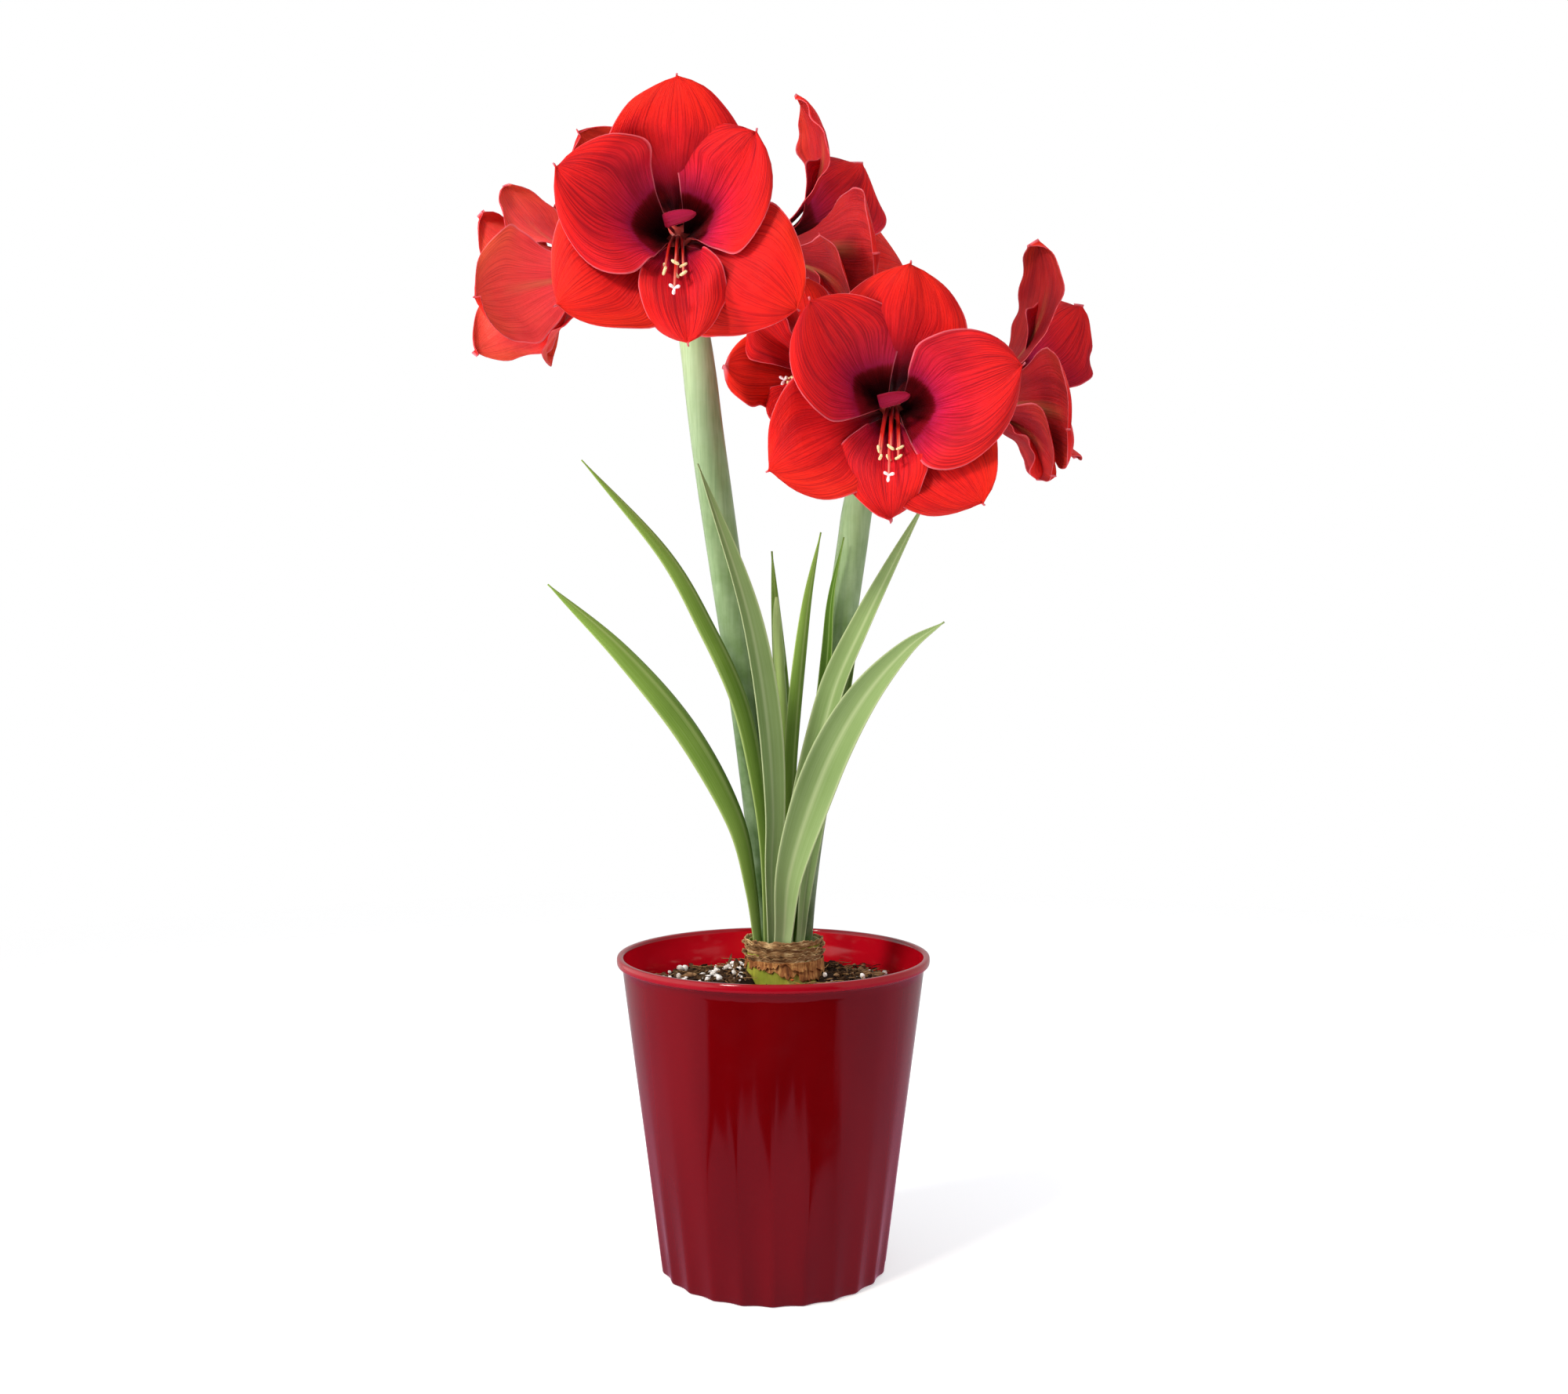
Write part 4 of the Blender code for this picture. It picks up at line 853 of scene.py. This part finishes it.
def makePot():
    angles = ringAngles(pot["columns"])
    flute = (np.sqrt(np.sin(angles * pot["flutes"] / 2) ** 2 + pot["ridge"] ** 2) - pot["ridge"]) / (1 - pot["ridge"])
    outside = [(potOutside(z, flute) - inset, z) for inset, z in pot["footRing"]]
    outside += [(potOutside(z, flute), z) for z in np.linspace(1.5, shoulder - 0.6, 40)]
    outside += [(potOutside(shoulder, flute) + 0.15, shoulder - 0.25), *pot["lip"]]
    # The wall thins towards the lip
    inside = [(potInside(z) + pot["thinsBy"] * max(0, (z - pot["thinsFrom"]) / 60), z)
              for z in np.linspace(176, pot["floor"] + 3, pot["innerRings"])]
    inside += [(potInside(pot["floor"]) - 2.5, pot["floor"]), (30, pot["floor"])]
    rings = [ringAt(radius, angles, z) for radius, z in outside + inside]
    points, faces = closedSkin((0, 0, pot["base"]), rings, (0, 0, pot["floor"]))
    place = np.zeros((len(points), 2))
    # The points from here on carry the inner face's painted glow
    place[1 + (len(outside) - 1) * pot["columns"] :, 0] = 1  # from the last ring of the lip inwards
    return shape(points, faces, place)


addPiece("pot_shell", [makePot()], [potMaterial()], ["pot"])
print("pot done")


# Bulb and its dry skins

# Heights and radii of the bulb, then the radii and heights of its crown and of the tight pale bases of the inner
# scales, which fill the neck in steps towards the middle
bulb = {"middle": 6, "columns": 120, "bottom": 88, "neck": 182.6,
        "profile": ((88, 13), (93, 25), (106, 36), (121, 39.5), (136, 36), (149, 28.5), (160, 23), (172, 21.6),
                    (188, 20.9)),
        "crown": ((20.6, 188.3), (20.1, 188.5), (19.6, 188.2), (19.4, 187)),
        "scales": ((19.0, 184.5), (17.4, 185.6), (17.2, 184), (15.0, 185), (14.8, 183.4), (12.2, 184.4), (12, 182.8),
                   (8.5, 183.6), (8.3, 182.2), (4, 182.8))}


def bulbRadius(height):
    heights, radii = np.array(bulb["profile"], float).T
    return np.interp(height, heights, radii)


def bulbMaterial():  # living bulb scale: waxy, yellow-green above the soil, browner and papery lower down
    made, add, shader = newMaterial("bulbScale", 0.42, 1.42)
    ribs = grainIn(add, 420, 3, (1, 1, 0.12))
    colour = add("ValToRGB", [grainIn(add, 70, 4)], ((0.3, "#7f8a2a"), (0.55, "#a4a63c"), (0.75, "#c0bd62")))
    colour = tinted(add, colour, heightOf(add), 0.166, 0.152, 1, "#7a5a34")
    finish(shader, tinted(add, colour, ribs, 0.45, 0.7, 0.45, "#6a6a2a"), ribs, 0.5, 0.5)
    return made


# Dry tunic: dead papery scale, matt brown with darker fibres along it and lighter torn edges.
def tunicMaterial(name, dark, mid, light, squeeze):
    made, add, shader = newMaterial(name, 0.78, 1.45, 0.35)
    fibres = grainIn(add, 520, 4, squeeze, 0.65)
    mixed = add("Math MULTIPLY_ADD", (grainIn(add, 90, 4), 0.55, fibres))
    finish(shader, add("ValToRGB", [mixed], ((0.52, dark), (0.76, mid), (0.98, light))), fibres, 0.7, 0.6)
    return made


def makeBulb():
    angles = ringAngles(bulb["columns"])
    low = smoothRoute([(r, 0, z) for z, r in bulb["profile"]], 70)[:, (0, 2)]
    rings = []
    for r, z in [*low, *bulb["crown"], *bulb["scales"]]:
        wobble = 1 + 0.012 * np.sin(3 * angles + z * 0.05) + 0.006 * np.sin(17 * angles)
        rings.append(ringAt(r * wobble, angles, z, bulb["middle"]))
    return shape(*closedSkin((bulb["middle"], 0, bulb["bottom"]), rings, (bulb["middle"], 0, bulb["neck"])))


# A strip of dry skin round part of the bulb, with a ragged lower and a worn upper edge
def skinStrip(rng, fromAngle, toAngle, bottom, lift, tearing):
    columns, rows = max(12, int((toAngle - fromAngle) * 26)), 12
    angles = np.linspace(fromAngle, toAngle, columns)
    key = rng.uniform(0, 50)

    def rough(pace, step):
        return np.array([noise.noise((a * pace, key, step)) for a in angles])

    edgeLow = np.linspace(*bottom, columns) + tearing * (rough(2.2, 0) + 0.55 * rough(9, 3) + 0.3 * rough(23, 5))
    edgeTop = collar["skinTop"] + 0.5 * rough(5, 8)
    grid, place = np.zeros((rows, columns, 3)), np.zeros((rows, columns, 2))
    for i, t in enumerate(np.linspace(0, 1, rows)):
        z = edgeTop + (edgeLow - edgeTop) * t
        wrinkle = 0.5 * rough(4, t * 1.5) + 0.25 * rough(16, t * 3)
        flare = 1.3 * t**3 * (rough(3, 12) + 0.3).clip(0)
        grid[i] = ringAt(bulbRadius(z) + lift + 0.35 + wrinkle + flare, angles, z, bulb["middle"])
        place[i, :, 1] = t
    return bladeShape(grid, np.full((rows, columns), 0.4), place, (0, 0, 0), key)


# One ring of an old leaf base round the neck: a thin band that leans out, curls at its edge and waves
def collarBand(rng, z, height, radius, lean):
    key = rng.uniform(0, 50)
    angles = ringAngles(collar["columns"])
    swayAngle, swayTurn = rng.uniform(0, fullTurn), rng.choice((1, 1, 2, 2))
    circle = [(math.cos(a) * 1.3, math.sin(a) * 1.3) for a in angles]
    rough, fine = [np.array([noise.noise((x * pace, y * pace, key)) for x, y in circle]) for pace in (2.2, 9)]
    sway = 1.3 * np.sin(swayTurn * angles + swayAngle)
    rings = []
    for out, up in collar["profile"]:
        r = radius + out * 1.1 + lean * max(up, 0) ** 2 * (0.6 + 0.8 * (rough + 0.5)) + 0.55 * rough + 0.18 * fine
        rings.append(ringAt(r, angles, z + sway * 0.55 + height * up * (1 + 0.5 * fine) + 0.25 * fine, bulb["middle"]))
    # The last ring joins the first one again
    columns, start = collar["columns"], (len(rings) - 1) * collar["columns"]
    faces = gridFaces(len(rings), columns, closed=True)
    faces += [(start + j, start + (j + 1) % columns, (j + 1) % columns, j) for j in range(columns)]
    return shape(np.concatenate(rings), faces, tone=key)


addPiece("bulb_body", [makeBulb()], [bulbMaterial()], ["bulb"])
collar = {"columns": 132, "bands": 9, "from": 177.4, "step": 1.25, "radius": 21.1, "skinTop": 178.5,
          "profile": ((0, 0), (0.35, -0.05), (0.55, 0.3), (0.6, 0.7), (0.75, 1), (0.5, 1.12), (0.2, 0.95), (0.05, 0.5))}
skinRng = random.Random(19)
# Each strip runs from one angle to another, and its lower edge slants between two heights
strips = [skinStrip(skinRng, *strip) for strip in (
    (0.2, 3.4, (168, 174), 0.1, 5), (3.2, 5.6, (176, 169), 0.1, 6), (5.1, 6.9, (170, 163), 0.5, 6),
    (3.9, 5.3, (177, 173), 0.9, 5), (0.9, 2.3, (172, 172), 0.8, 5), (5.4, 7.4, (174, 170), 1.1, 5))]
drySkin = tunicMaterial("dryTunic", "#4c2612", "#8f5a30", "#cb9a5c", (1, 1, 0.1))
addPiece("dry_skin", strips, [drySkin], ["tunic_skin"])
bands = [collarBand(skinRng, collar["from"] + collar["step"] * i, 2.0 + 0.5 * (i % 2),
                    collar["radius"] - 0.04 * i + 0.3 * (i % 3), 0.3 + 0.4 * ((i * 7) % 4))
         for i in range(collar["bands"])]
oldBases = tunicMaterial("oldLeafBase", "#4a3220", "#98734a", "#dcc290", (0.35, 0.35, 1))
addPiece("old_leaf_rings", bands, [oldBases], ["tunic_collar"])
print("bulb and tunics done")


# Potting mix

soil = {"top": 158.5, "mound": 11, "lump": 2.2, "columns": 220, "rings": 46, "bottom": 3.3, "hidden": 140, "gap": 0.8,
        "chips": 1500, "fibres": 620, "perlite": 170}
waveRng = random.Random(41)
waves = [(waveRng.uniform(0.25, 0.6), waveRng.randint(3, 9), waveRng.uniform(6, 22), waveRng.uniform(0, fullTurn))
         for _ in range(5)]


def soilHeight(share, angle):
    lumps = sum(size * math.sin(turns * angle + phase) * math.cos(share * pull + phase)
                for size, turns, pull, phase in waves)
    heaped = 1 - 0.7 * max(0, -math.sin(angle)) ** 2  # lower in front of the bulb
    mound = soil["mound"] * heaped * (1 - share) ** 1.3
    return soil["top"] + mound + soil["lump"] * lumps * min(1, 6 * (1 - share) + 0.25)


# A spot on the soil, from the bulb (share 0) to the wall (share 1)
def soilSpot(share, angle):
    height = soilHeight(share, angle)
    atBulb = bulbRadius(height) + 0.6
    wall = potInside(150) - soil["gap"]
    x = (bulb["middle"] + atBulb * math.cos(angle)) * (1 - share) + wall * math.cos(angle) * share
    y = atBulb * math.sin(angle) * (1 - share) + wall * math.sin(angle) * share
    return np.array((x, y, height))


def makeSoil():
    columns = soil["columns"]
    rings = [ringAt(potInside(z) - soil["gap"], ringAngles(columns), z) for z in (soil["bottom"], 50, 100, 140)]
    for share in np.linspace(1, 0, soil["rings"]):
        ring = []
        for j in range(columns):
            x, y, z = soilSpot(share, fullTurn * j / columns)
            rough = 1.6 * noise.noise((x * 0.12, y * 0.12, 4)) + 0.9 * noise.noise((x * 0.4, y * 0.4, 9))
            ring.append((x, y, z - 0.6 + rough * min(1, 8 * (1 - share) + 0.3)))
        rings.append(np.array(ring))
    rings.append(rings[-1] * (1, 1, 0) + (0, 0, soil["hidden"]))  # down beside the bulb
    return shape(*closedSkin((0, 0, soil["bottom"]), rings, (bulb["middle"], 0, soil["hidden"])))


# Bark, peat and coir: matt, dull brown, each crumb its own shade
def crumbMaterial(name, stops, roughness):
    return grainMaterial(name, (roughness, 1.45, 0.25), (420, 5, None, 0.7), stops, (0.8, 0.8), 0.5, toneOf)


def randomTurn(rng, flatness):
    tilt = Matrix.Rotation(rng.gauss(0, flatness), 3, "X") @ Matrix.Rotation(rng.gauss(0, flatness), 3, "Y")
    return np.array(tilt @ Matrix.Rotation(rng.uniform(0, fullTurn), 3, "Z"))


# A splinter of bark: a wedge with broken ends
chip = {"along": (-1, -0.55, 0.1, 0.65, 1),
        "corners": ((-1, -0.8), (0.1, -1), (1, -0.6), (0.9, 0.7), (-0.1, 1), (-0.9, 0.6))}


def chipShape(rng, size, spot, tone):
    length, width, thick = size * rng.uniform(0.8, 1.6), size * rng.uniform(0.25, 0.6), size * rng.uniform(0.1, 0.28)
    rings = []
    for t in chip["along"]:
        k = (1 - 0.75 * abs(t) ** 2.5) * rng.uniform(0.75, 1.1)
        sway = np.array((0, rng.uniform(-0.15, 0.15) * width, rng.uniform(-0.25, 0.25) * thick))
        rings.append([sway + (t * length / 2 + rng.uniform(-0.08, 0.08) * length,
                              a * width / 2 * k * rng.uniform(0.8, 1.2), b * thick / 2 * k * rng.uniform(0.7, 1.2))
                      for a, b in chip["corners"]])
    points, faces = closedSkin(np.mean(rings[0], axis=0), rings, np.mean(rings[-1], axis=0))
    return shape(points @ randomTurn(rng, 0.45).T + spot, faces, tone=tone)


def fibreShape(rng, spot, tone):
    length = rng.uniform(6, 22)
    heading = rng.uniform(0, fullTurn)
    bend = rng.uniform(-1.2, 1.2)
    points, at = [], spot + np.array((0, 0, rng.uniform(0.2, 1.4)))
    for t in np.linspace(0, 1, 7):
        points.append(at)
        turn = heading + bend * t + rng.uniform(-0.3, 0.3)
        at = at + np.array((math.cos(turn), math.sin(turn), rng.uniform(-0.2, 0.24) + 0.18 * (0.5 - t))) * length / 6
    points = smoothRoute(points, 9)
    reach = np.maximum(np.hypot(points[:, 0], points[:, 1]), 1)
    points[:, :2] *= np.minimum(1, 81.5 / reach)[:, None]  # held inside the pot
    return stemShape(points, np.linspace(1, 0.5, 10) * rng.uniform(0.16, 0.42), 5, tone)


def perliteShape(rng, size, spot):
    key = rng.uniform(0, 90)
    scale = np.array((rng.uniform(0.8, 1.2), rng.uniform(0.8, 1.2), rng.uniform(0.6, 0.95))) * size / 2
    bumps = np.array([1 + 0.28 * noise.noise(Vector(p) * 1.7 + Vector((key, 0, 0)))
                      + 0.14 * noise.noise(Vector(p) * 4 + Vector((0, key, 0))) for p in ballPoints])
    return shape(ballPoints * bumps[:, None] * scale @ randomTurn(rng, 1).T + spot, ballFaces, tone=rng.random())


def roundBall():  # an icosahedron split twice: the start of every perlite grain
    work = bmesh.new()
    bmesh.ops.create_icosphere(work, subdivisions=2, radius=1)
    work.verts.ensure_lookup_table()
    points = np.array([v.co[:] for v in work.verts])
    faces = [tuple(v.index for v in face.verts) for face in work.faces]
    work.free()
    return points, faces


ballPoints, ballFaces = roundBall()
mixRng = random.Random(77)
peat = crumbMaterial("peat", ((0.55, "#1f140d"), (0.85, "#3a281b"), (1.2, "#5c432e")), 0.95)
addPiece("compost", [makeSoil()], [peat], ["soil"])

chips, fibres, grains = [], [], []
for _ in range(soil["chips"]):
    share, angle = mixRng.uniform(0.01, 0.99), mixRng.uniform(0, fullTurn)
    size = mixRng.choice((2, 2.4, 3, 4, 5.5, 8)) * mixRng.uniform(0.75, 1.2)
    share = min(share, 1 - 0.012 * size)
    heap = 2.5 * max(0, noise.noise((math.cos(angle) * 1.6, math.sin(angle) * 1.6, share * 2 + 5)))
    spot = soilSpot(share, angle) + np.array((0, 0, mixRng.uniform(-0.4, 0.8) + heap * mixRng.random()))
    chips.append(chipShape(mixRng, size, spot, mixRng.uniform(0, 1)))
for _ in range(soil["fibres"]):
    share, angle = mixRng.uniform(0.02, 0.95), mixRng.uniform(0, fullTurn)
    fibres.append(fibreShape(mixRng, soilSpot(share, angle), mixRng.uniform(0, 1)))
for number in range(soil["perlite"]):
    # More of the white grains lie to the left of the bulb
    angle = mixRng.gauss(math.pi, 0.75) if number % 3 else mixRng.uniform(0, fullTurn)
    share = mixRng.uniform(0.04, 0.93)
    size = mixRng.choice((1.4, 2, 2.6, 3.2, 4))
    spot = soilSpot(share, angle) + np.array((0, 0, 0.2 * size + mixRng.uniform(0, 1.2)))
    grains.append(perliteShape(mixRng, size, spot))
scrap = [chipShape(mixRng, size, np.array(spot), tone)
         for size, spot, tone in ((5.5, (10.5, -25, 169.5), 0.4), (4, (13.5, -25.5, 168), 0.9))]
bark = crumbMaterial("bark", ((0.2, "#1c120b"), (0.6, "#38271a"), (0.95, "#62482f"), (1.3, "#947452")), 0.9)
coir = crumbMaterial("coirFibre", ((0.2, "#2c1b10"), (0.7, "#573c25"), (1.2, "#9c784e")), 0.85)
dried = crumbMaterial("driedPetal", ((0.2, "#8a2c12"), (0.9, "#d8703a")), 0.8)


def perliteMaterial():  # expanded volcanic glass: chalk white, matt, pitted, with a dusting of peat
    made, add, shader = newMaterial("perlite", 0.9, 1.5, 0.3)
    pits = add("TexVoronoi", {"Scale": 1400, "Vector": add("TexCoord").outputs["Object"]})
    dusty = add("ValToRGB", [grainIn(add, 300, 4)], ((0.3, "#b9ada0"), (0.48, "#ece8e2"), (0.6, "#fbfaf8")))
    finish(shader, dusty, pits, 0.5, 0.4)
    return made


# The scrap is a crumpled orange bit of an old petal that leans on the bulb in front
for name, parts, material in (("bark_chips", chips, bark), ("coir_fibres", fibres, coir),
                              ("perlite_grains", grains, perliteMaterial()), ("petal_scrap", scrap, dried)):
    addPiece(name, parts, [material], [])
print("potting mix done")


# Stage, lights and camera

stage = {"radii": (0.4, 1.2, 3.2), "sides": 64, "fadeFrom": 0.5, "fadeTo": 1.5, "floor": "#f4f4f3", "glow": 0.34}


# White paper that fades out into the white round it
def makeFloor():
    sides = stage["sides"]
    rings = [ringAt(r, ringAngles(sides), 0) for r in stage["radii"]]
    faces = gridFaces(3, sides, closed=True, start=1) + [(0, 1 + j, 1 + (j + 1) % sides) for j in range(sides)]
    mesh = bpy.data.meshes.new("floor")
    mesh.from_pydata(np.concatenate([[(0, 0, 0)], *rings]).tolist(), [], faces)
    floor = bpy.data.objects.new("floor", mesh)
    bpy.context.scene.collection.objects.link(floor)
    made, add, shader = newMaterial("paperFloor", 0.9, others={
        "Base Color": stage["floor"], "Emission Color": "#ffffff", "Emission Strength": stage["glow"],
    })
    away = add("VectorMath LENGTH", [add("TexCoord").outputs["Object"]]).outputs["Value"]
    feed(shader, {"Alpha": add("MapRange", (away, stage["fadeTo"], stage["fadeFrom"]))})
    mesh.materials.append(made)
    floor.visible_glossy = False


makeFloor()

world = bpy.data.worlds.new("studio")
bpy.context.scene.world = world
world.use_nodes = True
add = partial(addNode, world.node_tree)
seen = add("LightPath").outputs
# What gloss mirrors: a dim grey studio, darker low down in front, so that the pot's gloss stays deep red
toward = add("TexCoord").outputs["Generated"]
x, y, z = add("SeparateXYZ", [toward]).outputs
wander = add("Math SUBTRACT", (add("TexNoise", {"Scale": 3.2, "Detail": 1, "Vector": toward}), 0.5))
dripping = add("Math MULTIPLY_ADD", (add("Math ABSOLUTE", [wander]), 0.3, z))
bulging = add("Math MULTIPLY_ADD", (wander, 0.3, add("Math ABSOLUTE", [x])))
wings = add("MapRange", (bulging, 0.72, 0.76, 0, 0.46))
low = add("MapRange", (dripping, -0.492, -0.5, 0, 0.46))
high = add("MapRange", (z, -0.15, 0.35, 0, 0.4))
behind = add("MapRange", (y, -0.2, 0.45, 0, 0.5))
# A tall window on the left draws the pale stripe down the stems and leaves
window = add("Math MULTIPLY", (add("MapRange", (x, -0.5, -0.75)), add("MapRange", (z, -0.24, -0.12, 0, 1.2))))
inFront = add("Math MAXIMUM", (add("Math MAXIMUM", (low, window)), high))
mirrored = add("Math MAXIMUM", (inFront, add("Math MAXIMUM", (wings, behind))))
# The paper in front of the pot has a blush of its red
beneath = add("MapRange", (z, -0.2, -0.36))
blush = add("Mix", (beneath, mirrored, (1, 0.48, 0.7, 1)), blend_type="MULTIPLY")
glossed = add("Mix", (seen["Is Glossy Ray"], (0.46, 0.47, 0.5, 1), blush))
feed(world.node_tree.nodes["Background"], [add("Mix", (seen["Is Camera Ray"], glossed, "#ffffff"))])

lamps = {
    "key": dict(at=(-0.75, -1.0, 1.35), aim=(0, 0, 0.42), size=(0.3, 0.3), watts=15.5, paint="#fff6ea"),
    "side": dict(at=(1.15, -0.45, 0.75), aim=(0.1, 0, 0.5), size=(0.8, 0.8), watts=5, paint="#ffffff"),
    "strip": dict(at=(-1.0, -0.45, 0.45), aim=(0, 0, 0.35), size=(0.14, 1.3), watts=13, paint="#ffffff"),
    "back": dict(at=(0.7, 0.9, 1.1), aim=(0, 0, 0.5), size=(0.9, 0.9), watts=6, paint="#f6f9ff"),
}
for lampName, spec in lamps.items():
    light = bpy.data.lights.new(lampName, "AREA")
    light.shape = "RECTANGLE"
    light.size, light.size_y = spec["size"]
    light.energy = spec["watts"]
    light.color = srgb(spec["paint"])[:3]
    lamp = bpy.data.objects.new(lampName, light)
    lamp.location = spec["at"]
    lamp.rotation_euler = (Vector(spec["aim"]) - Vector(spec["at"])).to_track_quat("-Z", "Y").to_euler()
    lamp.visible_glossy = lampName == "key"
    bpy.context.scene.collection.objects.link(lamp)

camera = {"at": (0.0061, -0.9, 0.348), "focalPixels": 1995, "width": 2000, "horizon": 845, "middle": 889}
lens = bpy.data.cameras.new("camera")
lens.sensor_width = 36
lens.lens = 36 * camera["focalPixels"] / camera["width"]
lens.clip_start = 0.02
eye = bpy.data.objects.new("camera", lens)
eye.location = camera["at"]
down = math.atan((camera["middle"] - camera["horizon"]) / camera["focalPixels"])
eye.rotation_euler = (math.pi / 2 - down, 0, 0)
bpy.context.scene.collection.objects.link(eye)
bpy.context.scene.camera = eye
bpy.context.scene.view_settings.view_transform = "Standard"
print("studio done")
